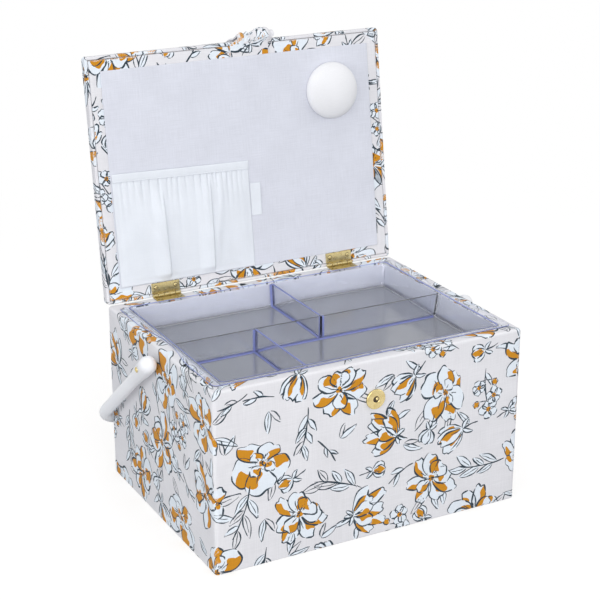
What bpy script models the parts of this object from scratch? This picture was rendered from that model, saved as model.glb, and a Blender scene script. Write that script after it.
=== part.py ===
"""Fabric-covered sewing box, modelled open, as it stands on a table.

Metres, +Z up. The origin is the middle of the flat base. +X runs to the
box's right, +Y to its back, where the hinges are. The lid is drawn shut in
the frame of an empty on the hinge line, and that empty holds it open. The
closing strap and the carrying handle hang from empties on their own axes.
"""

import math

import bmesh
import bpy
from mathutils import Matrix, Vector

# Fits between neighbouring pieces
FIT_GAP = 0.0003
RUNNING_CLEARANCE = 0.0003
CUT_OVERRUN = 0.002

# Box
BOX_WIDTH = 0.320
BOX_DEPTH = 0.240
BOX_HEIGHT = 0.177
CORNER_RADIUS = 0.0035
RIM_ROUNDING = 0.0025
INNER_CORNER_RADIUS = 0.0003
COVER_THICKNESS = 0.0006
WALL_BOARD_THICKNESS = 0.0100
BASE_BOARD_THICKNESS = 0.0060
TURN_IN_DEPTH = 0.0120
LINING_THICKNESS = 0.0020
LINING_DROP = 0.0012

# Brass butt hinges
HINGE_WIDTH = 0.0300
HINGE_SIDE_DISTANCE = 0.0620
HINGE_INSET = 0.0015
LEAF_DEPTH = 0.0125
LEAF_THICKNESS = 0.0008
KNUCKLE_RADIUS = 0.0017
HINGE_PIN_RADIUS = 0.0008
HINGE_PIN_CLEARANCE = 0.0001
KNUCKLE_COUNT = 5
KNUCKLE_GAP = 0.0003
HINGE_SCREW_SPACING = 0.0210
HINGE_SCREW_SETBACK = 0.0080
HINGE_SCREW_HEAD_RADIUS = 0.0021
HINGE_SCREW_HEAD_HEIGHT = 0.0004
HINGE_SCREW_RADIUS = 0.0010
HINGE_SCREW_LENGTH = 0.0070
LID_SCREW_LENGTH = 0.0042

# Lid
LID_OPEN_ANGLE = math.radians(97.9)
LID_THICKNESS = 0.0100
LID_CROWN = 0.0025
LID_CROWN_WIDTH = 0.0300
LID_LIP_WIDTH = 0.0032
LID_BOARD_THICKNESS = 0.0035
LID_WADDING_THICKNESS = 0.0016
LID_PANEL_BORDER = 0.0144
LID_LINING_THICKNESS = 0.0010
LID_RIM_STRIP_WIDTH = 0.0018

# Things on the lid's lining, from its back left corner towards its front edge
POCKET_WIDTH = 0.1440
POCKET_SIDE_MARGIN = 0.0022
POCKET_BACK_MARGIN = 0.0010
POCKET_HEIGHT_LEFT = 0.1115
POCKET_HEIGHT_RIGHT = 0.1070
POCKET_CLOTH_THICKNESS = 0.0006
POCKET_BULGE = 0.0016
POCKET_FOLD_HEIGHT = 0.0022
POCKET_HEM_HEIGHT = 0.0085
POCKET_HEM_THICKNESS = 0.0016
LABEL_WIDTH = 0.0107
LABEL_HEIGHT = 0.0325
LABEL_THICKNESS = 0.0005
LABEL_GAP = 0.0010
LABEL_RISE = 0.0520
PINCUSHION_SIDE_DISTANCE = 0.0607
PINCUSHION_FRONT_DISTANCE = 0.0432
PINCUSHION_RADIUS = 0.0285
PINCUSHION_HEIGHT = 0.0175
PINCUSHION_SEAM_RADIUS = 0.0265

# Closing strap with a magnetic snap
STRAP_CENTRE_X = 0.0120
STRAP_WIDTH = 0.0420
STRAP_THICKNESS = 0.0024
STRAP_ROOT_THICKNESS = 0.0012
STRAP_NECK_LENGTH = 0.0180
STRAP_FLAP_LENGTH = 0.0400
STRAP_CORNER_RADIUS = 0.0090
STRAP_REST_LIFT = math.radians(22.0)
SNAP_X = 0.0010
SNAP_DROP = 0.0385
SNAP_RADIUS = 0.0097
SNAP_THICKNESS = 0.0020
SNAP_SHEET = 0.0004
SNAP_HOLE_RADIUS = 0.0029
SNAP_MAGNET_BORE_SHARE = 1.25
SNAP_PRONG_SPACING = 0.0090
SNAP_PRONG_WIDTH = 0.0026
SNAP_PRONG_LENGTH = 0.0050
SNAP_WASHER_RADIUS = 0.0080
SNAP_WASHER_THICKNESS = 0.0008
SNAP_STUD_RADIUS = 0.0085
SNAP_STUD_THICKNESS = 0.0007
SNAP_BOSS_RADIUS = 0.0024
SNAP_BOSS_HEIGHT = 0.0016

# Carrying handle
HANDLE_PIVOT_Y = 0.0015
HANDLE_PIVOT_DROP = 0.0195
HANDLE_ARM_STANDOFF = 0.0117
HANDLE_RADIUS = 0.0062
HANDLE_END_RADIUS = 0.0084
HANDLE_END_OVERHANG = 0.0090
HANDLE_TAPER_LENGTH = 0.0480
HANDLE_BEND_RADIUS = 0.0520
HANDLE_HANG_ANGLE = math.radians(38.6)
HANDLE_CORNER_CLEARANCE = 0.0004
HANDLE_SCREW_RADIUS = 0.0019
HANDLE_SCREW_HEAD_RADIUS = 0.0027
HANDLE_SCREW_HEAD_HEIGHT = 0.0006
HANDLE_SCREW_RECESS_RADIUS = 0.0012
HANDLE_SCREW_RECESS_DEPTH = 0.0012
HANDLE_SCREW_BITE = 0.0080
HANDLE_SPACER_RADIUS = 0.0042

# Clear plastic tray
TRAY_DEPTH = 0.0255
TRAY_SHEET = 0.0012
TRAY_DRAFT = 0.0035
TRAY_CORNER_RADIUS = 0.0050
TRAY_FLANGE_WIDTH = 0.0095
TRAY_FRONT_FLANGE_WIDTH = 0.0050
TRAY_FLANGE_THICKNESS = 0.0010
TRAY_WALL_CLEARANCE = 0.0009
TRAY_DIVIDER_THICKNESS = 0.0020
TRAY_DIVIDER_DRAFT = 0.0004
TRAY_DIVIDER_DROP = 0.0022
TRAY_BACK_DIVIDER_SHARE = 0.0793
TRAY_FRONT_DIVIDER_SHARE = -0.4103
TRAY_FILLET = 0.0020

# Fineness of round shapes
CORNER_STEPS = 4
ROUND_SIDES = 24
SMALL_SIDES = 12
HANDLE_SIDES = 16

# Places worked out from the sizes above
WALL_INSET = COVER_THICKNESS + FIT_GAP
TURN_IN_INSET = WALL_INSET + WALL_BOARD_THICKNESS + FIT_GAP
LINING_INSET = TURN_IN_INSET + COVER_THICKNESS + FIT_GAP
INSIDE_INSET = LINING_INSET + LINING_THICKNESS
BASE_TOP = WALL_INSET + BASE_BOARD_THICKNESS
FLOOR_TOP = BASE_TOP + FIT_GAP + LINING_THICKNESS
HINGE_CENTRE_X = BOX_WIDTH / 2 - HINGE_SIDE_DISTANCE
HINGE_AXIS_Y = BOX_DEPTH / 2 - HINGE_INSET
HINGE_AXIS_Z = BOX_HEIGHT + FIT_GAP + KNUCKLE_RADIUS
LID_UNDERSIDE = KNUCKLE_RADIUS + FIT_GAP
LID_BACK = HINGE_INSET
LID_FRONT = LID_BACK - BOX_DEPTH
LID_MIDDLE = (LID_BACK + LID_FRONT) / 2
LINING_UNDERSIDE = LID_UNDERSIDE - FIT_GAP - LID_LINING_THICKNESS
LINING_BACK = LID_BACK - LID_PANEL_BORDER
LINING_LEFT = -BOX_WIDTH / 2 + LID_PANEL_BORDER
PINCUSHION_Y = LID_FRONT + LID_PANEL_BORDER + PINCUSHION_FRONT_DISTANCE
PINCUSHION_X = BOX_WIDTH / 2 - PINCUSHION_SIDE_DISTANCE
LID_BOARD_BOTTOM = LID_UNDERSIDE + LID_THICKNESS - COVER_THICKNESS - FIT_GAP \
    - LID_WADDING_THICKNESS - FIT_GAP - LID_BOARD_THICKNESS
HANDLE_ARM_X = BOX_WIDTH / 2 + HANDLE_ARM_STANDOFF
HANDLE_PIVOT_Z = BOX_HEIGHT - HANDLE_PIVOT_DROP
SNAP_Z = BOX_HEIGHT - SNAP_DROP
STRAP_HALF = STRAP_THICKNESS / 2
STRAP_STANDOFF = STRAP_HALF + FIT_GAP
STRAP_SHUT_REACH = HINGE_AXIS_Z + LID_UNDERSIDE - SNAP_Z
STRAP_SHUT_OFFSET = STRAP_THICKNESS + FIT_GAP + SNAP_STUD_THICKNESS + RUNNING_CLEARANCE \
    + SNAP_THICKNESS + FIT_GAP - STRAP_STANDOFF
STRAP_SHUT_SPREAD = math.asin(STRAP_SHUT_OFFSET / math.hypot(STRAP_HALF, STRAP_NECK_LENGTH)) \
    - math.atan2(STRAP_HALF, STRAP_NECK_LENGTH)
TRAY_TOP = BOX_HEIGHT + FIT_GAP + TRAY_FLANGE_THICKNESS
TRAY_FLOOR = TRAY_TOP - TRAY_DEPTH
TRAY_HALF_X = BOX_WIDTH / 2 - INSIDE_INSET - TRAY_WALL_CLEARANCE
TRAY_HALF_Y = BOX_DEPTH / 2 - INSIDE_INSET - TRAY_WALL_CLEARANCE
TRAY_BACK_DIVIDER_X = TRAY_HALF_X * TRAY_BACK_DIVIDER_SHARE
TRAY_FRONT_DIVIDER_X = TRAY_HALF_X * TRAY_FRONT_DIVIDER_SHARE


def clear_scene():
    """Remove whatever the opened file holds."""
    for thing in list(bpy.data.objects):
        bpy.data.objects.remove(thing, do_unlink=True)


def linear(hex_code):
    """sRGB hex colour as linear RGBA."""
    values = [int(hex_code[i:i + 2], 16) / 255 for i in (1, 3, 5)]
    return [v / 12.92 if v <= 0.04045 else ((v + 0.055) / 1.055) ** 2.4 for v in values] + [1]


def make_material(name, colour, roughness, metallic=0.0, alpha=1.0):
    """A plain Principled material."""
    material = bpy.data.materials.new(name)
    material.use_nodes = True
    shader = material.node_tree.nodes["Principled BSDF"]
    shader.inputs["Base Color"].default_value = linear(colour)
    shader.inputs["Roughness"].default_value = roughness
    shader.inputs["Metallic"].default_value = metallic
    shader.inputs["Alpha"].default_value = alpha
    material.diffuse_color = linear(colour)
    return material


def make_materials():
    """The object's materials, by the name that the pieces use."""
    return {
        "print": make_material("printed_linen", "#DDD6D6", 0.85),
        "base": make_material("plain_base_cloth", "#D9D2D2", 0.9),
        "board": make_material("fibreboard", "#A58A66", 0.8),
        "wadding": make_material("wadding", "#F0EEEA", 0.95),
        "lining": make_material("lining_cloth", "#D6D8E2", 0.85),
        "pocket": make_material("white_cotton", "#EDF0F6", 0.85),
        "cushion": make_material("pincushion_cloth", "#F2F1EF", 0.9),
        "brass": make_material("polished_brass", "#D8B860", 0.25, 1.0),
        "magnet": make_material("magnet_steel", "#5A5A5E", 0.4, 1.0),
        "handle": make_material("white_plastic", "#EFF0F3", 0.45),
        "tray": make_material("clear_styrene", "#C9CFEA", 0.05, 0.0, 0.35),
    }


def finish(name, work, material, parent=None, smooth=True):
    """Turn an editing mesh into a named object under its parent empty."""
    bmesh.ops.recalc_face_normals(work, faces=work.faces)
    mesh = bpy.data.meshes.new(name)
    work.to_mesh(mesh)
    work.free()
    mesh.materials.append(material)
    thing = bpy.data.objects.new(name, mesh)
    bpy.context.scene.collection.objects.link(thing)
    if smooth:
        mesh.shade_smooth()
        mesh.set_sharp_from_angle(angle=math.radians(35))
    thing.parent = parent
    return thing


def add_empty(name, location, turn_x, parent=None):
    """An empty on a joint's axis, turned about X."""
    empty = bpy.data.objects.new(name, None)
    bpy.context.scene.collection.objects.link(empty)
    empty.location = location
    empty.rotation_euler = (turn_x, 0, 0)
    empty.parent = parent
    return empty


def add_block(work, low, high):
    """Add an upright block between two corners."""
    size = Vector(high) - Vector(low)
    middle = (Vector(high) + Vector(low)) / 2
    bmesh.ops.create_cube(work, size=1, matrix=Matrix.Translation(middle) @ Matrix.Diagonal((*size, 1)))


def block(low, high):
    """An editing mesh that holds one block."""
    work = bmesh.new()
    add_block(work, low, high)
    return work


def rounded_rectangle(half_x, half_y, radius, middle_y=0.0, steps=CORNER_STEPS):
    """Outline points of a rounded rectangle, anticlockwise from its right front corner."""
    radius = max(radius, INNER_CORNER_RADIUS)
    points = []
    for corner, (side_x, side_y) in enumerate(((1, -1), (1, 1), (-1, 1), (-1, -1))):
        for step in range(steps + 1):
            angle = (corner - 1 + step / steps) * math.pi / 2
            points.append((
                side_x * (half_x - radius) + radius * math.cos(angle),
                middle_y + side_y * (half_y - radius) + radius * math.sin(angle),
            ))
    return points


def ring_at(outline, height):
    """An outline's points lifted to one height."""
    return [Vector((x, y, height)) for x, y in outline]


def loft(rings, closed=False):
    """Skin rings of equally many points, capped at both ends or joined round."""
    work = bmesh.new()
    rows = [[work.verts.new(point) for point in ring] for ring in rings]
    pairs = list(zip(rows, rows[1:]))
    if closed:
        pairs.append((rows[-1], rows[0]))
    for low, high in pairs:
        for i in range(len(low)):
            j = (i + 1) % len(low)
            work.faces.new((low[i], low[j], high[j], high[i]))
    if not closed:
        work.faces.new(reversed(rows[0]))
        work.faces.new(rows[-1])
    return work


def slab(outline, bottom, top):
    """An outline pulled up into a plate."""
    return loft([ring_at(outline, bottom), ring_at(outline, top)])


def turned(profile, sides, matrix):
    """Turn (radius, height) points about Z, then place the result. Radius zero ends in a point."""
    work = bmesh.new()
    rows = []
    for radius, height in profile:
        if radius == 0:
            rows.append([work.verts.new(matrix @ Vector((0, 0, height)))])
            continue
        rows.append([
            work.verts.new(matrix @ Vector((
                radius * math.cos(2 * math.pi * k / sides),
                radius * math.sin(2 * math.pi * k / sides), height)))
            for k in range(sides)
        ])
    for low, high in zip(rows, rows[1:]):
        for i in range(sides):
            j = (i + 1) % sides
            corners = [low[i % len(low)], low[j % len(low)], high[j % len(high)], high[i % len(high)]]
            work.faces.new(list(dict.fromkeys(corners)))
    for row in (rows[0], rows[-1]):
        if len(row) > 1 and rows[0][0] is not rows[-1][0] and profile[0] != profile[-1]:
            work.faces.new(row)
    return work


def turned_ring(profile, sides, matrix):
    """Turn a closed (radius, height) outline about Z into a ring."""
    rings = [
        [matrix @ Vector((radius * math.cos(2 * math.pi * k / sides),
                          radius * math.sin(2 * math.pi * k / sides), height))
         for k in range(sides)]
        for radius, height in profile
    ]
    return loft(rings, closed=True)


def rod(radius, start, end, sides=SMALL_SIDES):
    """A cylinder from one point to another."""
    start, end = Vector(start), Vector(end)
    turn = (end - start).to_track_quat("Z", "Y").to_matrix().to_4x4()
    length = (end - start).length
    return turned([(radius, 0), (radius, length)], sides, Matrix.Translation(start) @ turn)


def merged(works):
    """Several editing meshes as one, their bodies left apart."""
    total = bmesh.new()
    for work in works:
        mesh = bpy.data.meshes.new("temporary")
        work.to_mesh(mesh)
        work.free()
        total.from_mesh(mesh)
        bpy.data.meshes.remove(mesh)
    return total


def with_boolean(thing, operation, work):
    """Unite a piece with another body, or cut it with one, and keep the resulting mesh."""
    tool = finish("tool", work, thing.data.materials[0], thing.parent, smooth=False)
    modifier = thing.modifiers.new(operation.lower(), "BOOLEAN")
    modifier.operation = operation
    modifier.solver = "EXACT"
    modifier.object = tool
    bpy.context.view_layer.update()
    solid = bpy.data.meshes.new_from_object(thing.evaluated_get(bpy.context.evaluated_depsgraph_get()))
    thing.modifiers.clear()
    old = thing.data
    thing.data = solid
    solid.name = old.name
    bpy.data.meshes.remove(old)
    bpy.data.objects.remove(tool, do_unlink=True)
    return thing


def cut(thing, work):
    """Cut a body out of a piece."""
    return with_boolean(thing, "DIFFERENCE", work)


def unite(thing, work):
    """Join a body to a piece."""
    return with_boolean(thing, "UNION", work)


def along_x(x, y, z):
    """Frame whose Z axis points along +X from a point."""
    return Matrix.Translation((x, y, z)) @ Matrix.Rotation(math.pi / 2, 4, "Y")


def along_front(x, y, z):
    """Frame whose Z axis points forwards, along -Y, from a point."""
    return Matrix.Translation((x, y, z)) @ Matrix.Rotation(math.pi / 2, 4, "X")


def box_outline(inset, radius=None):
    """The box's outline moved inwards."""
    corner = CORNER_RADIUS - inset if radius is None else radius
    return rounded_rectangle(BOX_WIDTH / 2 - inset, BOX_DEPTH / 2 - inset, corner)


def hinge_screw_places():
    """X of every hinge screw."""
    return [side * HINGE_CENTRE_X + offset * HINGE_SCREW_SPACING / 2
            for side in (-1, 1) for offset in (-1, 1)]


def hinge_screw_names(leaf):
    """The hinge screws' names, in the order of their places."""
    return [f"{side}_hinge_{leaf}_screw_{number}" for side in ("left", "right") for number in (1, 2)]


def prong_blocks(front_y, back_y, grow):
    """The snap's two prongs as blocks across the front wall, grown all round."""
    half_width = SNAP_PRONG_WIDTH / 2 + grow
    half_sheet = SNAP_SHEET / 2 + grow
    work = bmesh.new()
    for side in (-1, 1):
        x = SNAP_X + side * SNAP_PRONG_SPACING / 2
        add_block(work, (x - half_sheet, front_y, SNAP_Z - half_width),
                  (x + half_sheet, back_y, SNAP_Z + half_width))
    return work


def add_wall_boards(looks):
    """Front, back, left and right boards standing on the base board, and the base board."""
    half_x = BOX_WIDTH / 2 - WALL_INSET
    half_y = BOX_DEPTH / 2 - WALL_INSET
    bottom = BASE_TOP + FIT_GAP
    top = BOX_HEIGHT - WALL_INSET
    corner = CORNER_RADIUS - WALL_INSET
    boards = {}
    for name, side in (("front_board", -1), ("back_board", 1)):
        edge = [(x, side * y) for x, y in rounded_rectangle(half_x, half_y, corner) if y > 0]
        inner = side * (half_y - WALL_BOARD_THICKNESS)
        outline = [(half_x, inner)] + edge + [(-half_x, inner)]
        boards[name] = finish(name, slab(outline, bottom, top), looks["board"])
    reach = half_y - WALL_BOARD_THICKNESS - FIT_GAP
    for name, side in (("left_board", -1), ("right_board", 1)):
        xs = sorted((side * half_x, side * (half_x - WALL_BOARD_THICKNESS)))
        work = block((xs[0], -reach, bottom), (xs[1], reach, top))
        boards[name] = finish(name, work, looks["board"])
        cut(boards[name], handle_screw_hole(side, HANDLE_SCREW_BITE + FIT_GAP))
    base = slab(box_outline(WALL_INSET), WALL_INSET, BASE_TOP)
    finish("base_board", base, looks["board"])
    screw_bottom = BOX_HEIGHT + FIT_GAP + LEAF_THICKNESS - HINGE_SCREW_LENGTH - FIT_GAP
    screw_y = HINGE_AXIS_Y - HINGE_SCREW_SETBACK
    holes = [rod(HINGE_SCREW_RADIUS + FIT_GAP, (x, screw_y, screw_bottom), (x, screw_y, top + CUT_OVERRUN))
             for x in hinge_screw_places()]
    cut(boards["back_board"], merged(holes))
    face = -half_y
    recess = rod(SNAP_WASHER_RADIUS + FIT_GAP, (SNAP_X, face - CUT_OVERRUN, SNAP_Z),
                 (SNAP_X, face + SNAP_WASHER_THICKNESS, SNAP_Z), ROUND_SIDES)
    cut(boards["front_board"], recess)
    cut(boards["front_board"], prong_blocks(face - CUT_OVERRUN,
                                            face + SNAP_PRONG_LENGTH, FIT_GAP))


def add_box_cover(looks):
    """Printed cloth round the four walls, over the rim and turned in, and the cloth under the base."""
    top = BOX_HEIGHT
    turn_inner = TURN_IN_INSET + COVER_THICKNESS
    rounding = [(RIM_ROUNDING * (1 - math.cos(a)), top - RIM_ROUNDING * (1 - math.sin(a)))
                for a in (0, math.pi / 6, math.pi / 3, math.pi / 2)]
    section = [(0, 0)] + rounding + [
        (turn_inner - COVER_THICKNESS / 2, top),
        (turn_inner, top - COVER_THICKNESS / 2),
        (turn_inner, top - TURN_IN_DEPTH),
        (TURN_IN_INSET, top - TURN_IN_DEPTH),
        (TURN_IN_INSET, top - COVER_THICKNESS),
        (COVER_THICKNESS, top - COVER_THICKNESS),
        (COVER_THICKNESS, 0),
    ]
    rings = [ring_at(box_outline(inset), height) for inset, height in section]
    cover = finish("outer_cover", loft(rings, closed=True), looks["print"])
    screw_y = HINGE_AXIS_Y - HINGE_SCREW_SETBACK
    holes = [rod(HINGE_SCREW_RADIUS + FIT_GAP, (x, screw_y, top - COVER_THICKNESS - CUT_OVERRUN / 2),
                 (x, screw_y, top + CUT_OVERRUN)) for x in hinge_screw_places()]
    holes += [handle_screw_hole(side, CUT_OVERRUN + COVER_THICKNESS) for side in (-1, 1)]
    face = -BOX_DEPTH / 2
    holes.append(prong_blocks(face - CUT_OVERRUN, face + COVER_THICKNESS + CUT_OVERRUN, FIT_GAP))
    cut(cover, merged(holes))
    base = slab(box_outline(WALL_INSET), 0, COVER_THICKNESS)
    finish("base_cover", base, looks["base"])


def add_lining(looks):
    """Cloth-covered cards inside the walls and on the floor."""
    half_x = BOX_WIDTH / 2 - LINING_INSET
    half_y = BOX_DEPTH / 2 - LINING_INSET
    bottom = FLOOR_TOP + FIT_GAP
    top = BOX_HEIGHT - LINING_DROP
    for name, side in (("front_lining", -1), ("back_lining", 1)):
        ys = sorted((side * half_y, side * (half_y - LINING_THICKNESS)))
        finish(name, block((-half_x, ys[0], bottom), (half_x, ys[1], top)), looks["lining"])
    reach = half_y - LINING_THICKNESS - FIT_GAP
    for name, side in (("left_lining", -1), ("right_lining", 1)):
        xs = sorted((side * half_x, side * (half_x - LINING_THICKNESS)))
        finish(name, block((xs[0], -reach, bottom), (xs[1], reach, top)), looks["lining"])
    floor = block((-half_x, -half_y, BASE_TOP + FIT_GAP), (half_x, half_y, FLOOR_TOP))
    finish("floor_lining", floor, looks["lining"])


def knuckle_spans(owner):
    """Start and end X, from the hinge's middle, of the knuckles of the box leaf (0) or lid leaf (1)."""
    pitch = HINGE_WIDTH / KNUCKLE_COUNT
    spans = []
    for k in range(KNUCKLE_COUNT):
        if k % 2 == owner:
            start = -HINGE_WIDTH / 2 + k * pitch
            spans.append((start + KNUCKLE_GAP / 2, start + pitch - KNUCKLE_GAP / 2))
    return spans


def hinge_leaf(name, centre_x, owner, up, axis_y, axis_z, material, parent=None):
    """One leaf: a plate tangent to its knuckles, below the axis for the box and above it for the lid."""
    outer = axis_z + up * KNUCKLE_RADIUS
    inner = outer - up * LEAF_THICKNESS
    zs = sorted((outer, inner))
    plate_end = axis_y - KNUCKLE_RADIUS - KNUCKLE_GAP
    half = HINGE_WIDTH / 2
    leaf = finish(name, block((centre_x - half, axis_y - LEAF_DEPTH, zs[0]),
                              (centre_x + half, plate_end, zs[1])), material, parent)
    for start, end in knuckle_spans(owner):
        tongue = block((centre_x + start, plate_end - KNUCKLE_GAP, zs[0]),
                       (centre_x + end, axis_y, zs[1]))
        unite(leaf, tongue)
        unite(leaf, rod(KNUCKLE_RADIUS, (centre_x + start, axis_y, axis_z),
                        (centre_x + end, axis_y, axis_z), SMALL_SIDES))
    bore = HINGE_PIN_RADIUS + HINGE_PIN_CLEARANCE
    cut(leaf, rod(bore, (centre_x - half - CUT_OVERRUN, axis_y, axis_z),
                  (centre_x + half + CUT_OVERRUN, axis_y, axis_z), SMALL_SIDES))
    holes = []
    for offset in (-1, 1):
        x = centre_x + offset * HINGE_SCREW_SPACING / 2
        y = axis_y - HINGE_SCREW_SETBACK
        holes.append(rod(HINGE_SCREW_RADIUS + FIT_GAP, (x, y, zs[0] - CUT_OVERRUN),
                         (x, y, zs[1] + CUT_OVERRUN)))
    cut(leaf, merged(holes))
    return leaf


def add_hinge_screw(name, x, y, seat, up, length, material, parent=None):
    """A round-headed screw whose head stands on a leaf, its shank going away from the head."""
    profile = [
        (0, -length),
        (HINGE_SCREW_RADIUS, -length + HINGE_SCREW_RADIUS),
        (HINGE_SCREW_RADIUS, FIT_GAP),
        (HINGE_SCREW_HEAD_RADIUS, FIT_GAP),
        (HINGE_SCREW_HEAD_RADIUS, FIT_GAP + HINGE_SCREW_HEAD_HEIGHT / 2),
        (HINGE_SCREW_HEAD_RADIUS * 0.7, FIT_GAP + HINGE_SCREW_HEAD_HEIGHT),
        (0, FIT_GAP + HINGE_SCREW_HEAD_HEIGHT),
    ]
    frame = Matrix.Diagonal((1, 1, up, 1))
    screw = finish(name, turned(profile, SMALL_SIDES, frame), material, parent)
    screw.location = (x, y, seat)


def add_box_hinges(looks):
    """The hinges' lower leaves with their screws, and the pins."""
    seat = BOX_HEIGHT + FIT_GAP + LEAF_THICKNESS
    for name, x in zip(hinge_screw_names("box"), hinge_screw_places()):
        add_hinge_screw(name, x, HINGE_AXIS_Y - HINGE_SCREW_SETBACK, seat, 1, HINGE_SCREW_LENGTH, looks["brass"])
    for name, side in (("left", -1), ("right", 1)):
        centre = side * HINGE_CENTRE_X
        hinge_leaf(f"{name}_hinge_box_leaf", centre, 0, -1, HINGE_AXIS_Y, HINGE_AXIS_Z, looks["brass"])
        pin = rod(HINGE_PIN_RADIUS, (centre - HINGE_WIDTH / 2, HINGE_AXIS_Y, HINGE_AXIS_Z),
                  (centre + HINGE_WIDTH / 2, HINGE_AXIS_Y, HINGE_AXIS_Z))
        finish(f"{name}_hinge_pin", pin, looks["brass"])


def lid_outline(inset, radius=None):
    """The shut lid's outline moved inwards, in the lid's frame."""
    corner = CORNER_RADIUS - inset if radius is None else radius
    return rounded_rectangle(BOX_WIDTH / 2 - inset, BOX_DEPTH / 2 - inset, corner, LID_MIDDLE)


def crown_rise(inset):
    """How far the padded top has risen at a distance from the lid's edge."""
    share = min(inset / LID_CROWN_WIDTH, 1)
    return LID_CROWN * math.sin(share * math.pi / 2)


def add_lid(looks, lid):
    """Board, edge strips, wadding, printed cover, inner panel and lining of the lid."""
    top = LID_UNDERSIDE + LID_THICKNESS
    rings = []
    cover_in = COVER_THICKNESS
    crown_insets = [RIM_ROUNDING, LID_CROWN_WIDTH / 3, LID_CROWN_WIDTH * 2 / 3, LID_CROWN_WIDTH]
    for inset in reversed(crown_insets):
        rings.append((max(inset, cover_in), top - cover_in + crown_rise(inset)))
    rings.append((cover_in, top - RIM_ROUNDING))
    rings += [(cover_in, LID_UNDERSIDE + cover_in), (LID_LIP_WIDTH - cover_in, LID_UNDERSIDE + cover_in)]
    rings += [(LID_LIP_WIDTH - cover_in, LID_BOARD_BOTTOM - FIT_GAP)]
    rings += [(LID_LIP_WIDTH, LID_BOARD_BOTTOM - FIT_GAP), (LID_LIP_WIDTH, LID_UNDERSIDE + cover_in / 2)]
    rings += [(LID_LIP_WIDTH - cover_in / 2, LID_UNDERSIDE), (cover_in, LID_UNDERSIDE)]
    rings += [(0, LID_UNDERSIDE + cover_in), (0, top - RIM_ROUNDING)]
    for inset in crown_insets:
        rings.append((inset, top + crown_rise(inset)))
    cover = loft([ring_at(lid_outline(inset), height) for inset, height in rings])
    finish("lid_cover", cover, looks["print"], lid)

    board_inset = WALL_INSET
    board = slab(lid_outline(board_inset), LID_BOARD_BOTTOM, LID_BOARD_BOTTOM + LID_BOARD_THICKNESS)
    lid_board = finish("lid_board", board, looks["board"], lid)
    pad_bottom = LID_BOARD_BOTTOM + LID_BOARD_THICKNESS + FIT_GAP
    pad = [(inset, top - cover_in - FIT_GAP + crown_rise(inset)) for inset in crown_insets]
    pad_rings = [ring_at(lid_outline(RIM_ROUNDING), pad_bottom)]
    pad_rings += [ring_at(lid_outline(inset), height) for inset, height in pad]
    finish("lid_wadding", loft(pad_rings), looks["wadding"], lid)

    strip_low = LID_UNDERSIDE + WALL_INSET
    strip_high = LID_BOARD_BOTTOM - FIT_GAP
    strip_out = BOX_WIDTH / 2 - WALL_INSET
    strip_in = BOX_WIDTH / 2 - LID_LIP_WIDTH + cover_in + FIT_GAP
    side_reach = BOX_DEPTH / 2 - LID_LIP_WIDTH
    for name, side in (("lid_left_strip", -1), ("lid_right_strip", 1)):
        xs = sorted((side * strip_out, side * strip_in))
        work = block((xs[0], LID_MIDDLE - side_reach, strip_low),
                     (xs[1], LID_MIDDLE + side_reach, strip_high))
        finish(name, work, looks["board"], lid)
    strip_reach = BOX_WIDTH / 2 - LID_LIP_WIDTH
    out_y = BOX_DEPTH / 2 - WALL_INSET
    in_y = BOX_DEPTH / 2 - LID_LIP_WIDTH + cover_in + FIT_GAP
    for name, side in (("lid_front_strip", -1), ("lid_back_strip", 1)):
        ys = sorted((LID_MIDDLE + side * out_y, LID_MIDDLE + side * in_y))
        work = block((-strip_reach, ys[0], strip_low), (strip_reach, ys[1], strip_high))
        finish(name, work, looks["board"], lid)

    panel_inset = LID_LIP_WIDTH + FIT_GAP
    panel = slab(lid_outline(panel_inset), LID_UNDERSIDE, LID_BOARD_BOTTOM - FIT_GAP)
    inner_panel = finish("lid_inner_panel", panel, looks["print"], lid)
    lining = slab(lid_outline(LID_PANEL_BORDER), LINING_UNDERSIDE, LID_UNDERSIDE - FIT_GAP)
    finish("lid_lining", lining, looks["lining"], lid)

    seat = LID_UNDERSIDE - FIT_GAP - LEAF_THICKNESS
    screw_y = -HINGE_SCREW_SETBACK
    screw_end = seat + LID_SCREW_LENGTH + FIT_GAP
    for thing in (inner_panel, lid_board):
        holes = [rod(HINGE_SCREW_RADIUS + FIT_GAP, (x, screw_y, seat), (x, screw_y, screw_end))
                 for x in hinge_screw_places()]
        cut(thing, merged(holes))
    for name, x in zip(hinge_screw_names("lid"), hinge_screw_places()):
        add_hinge_screw(name, x, screw_y, seat, -1, LID_SCREW_LENGTH, looks["brass"], lid)
    for name, side in (("left", -1), ("right", 1)):
        hinge_leaf(f"{name}_hinge_lid_leaf", side * HINGE_CENTRE_X, 1, 1, 0, 0, looks["brass"], lid)


def pocket_depth(across, up):
    """How far the pocket's cloth stands off the lining, from shares of its width and height."""
    seams = min(1, 12 * across) * min(1, 12 * (1 - across)) * min(1, 8 * up)
    bulge = POCKET_BULGE * math.sin(math.pi * across) * math.sin(math.pi * min(1, 1.2 * (1.0 - up)))
    folds = 0
    for fold_at_share, fold_width_share in ((0.34, 0.05), (0.66, 0.045)):
        folds += math.exp(-((across - fold_at_share - 0.03 * up) / fold_width_share) ** 2)
    fold_rise = POCKET_FOLD_HEIGHT * folds * math.sin(math.pi * min(1, up * 1.05)) ** 0.7
    return seams * (max(bulge, 0) + fold_rise)


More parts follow.
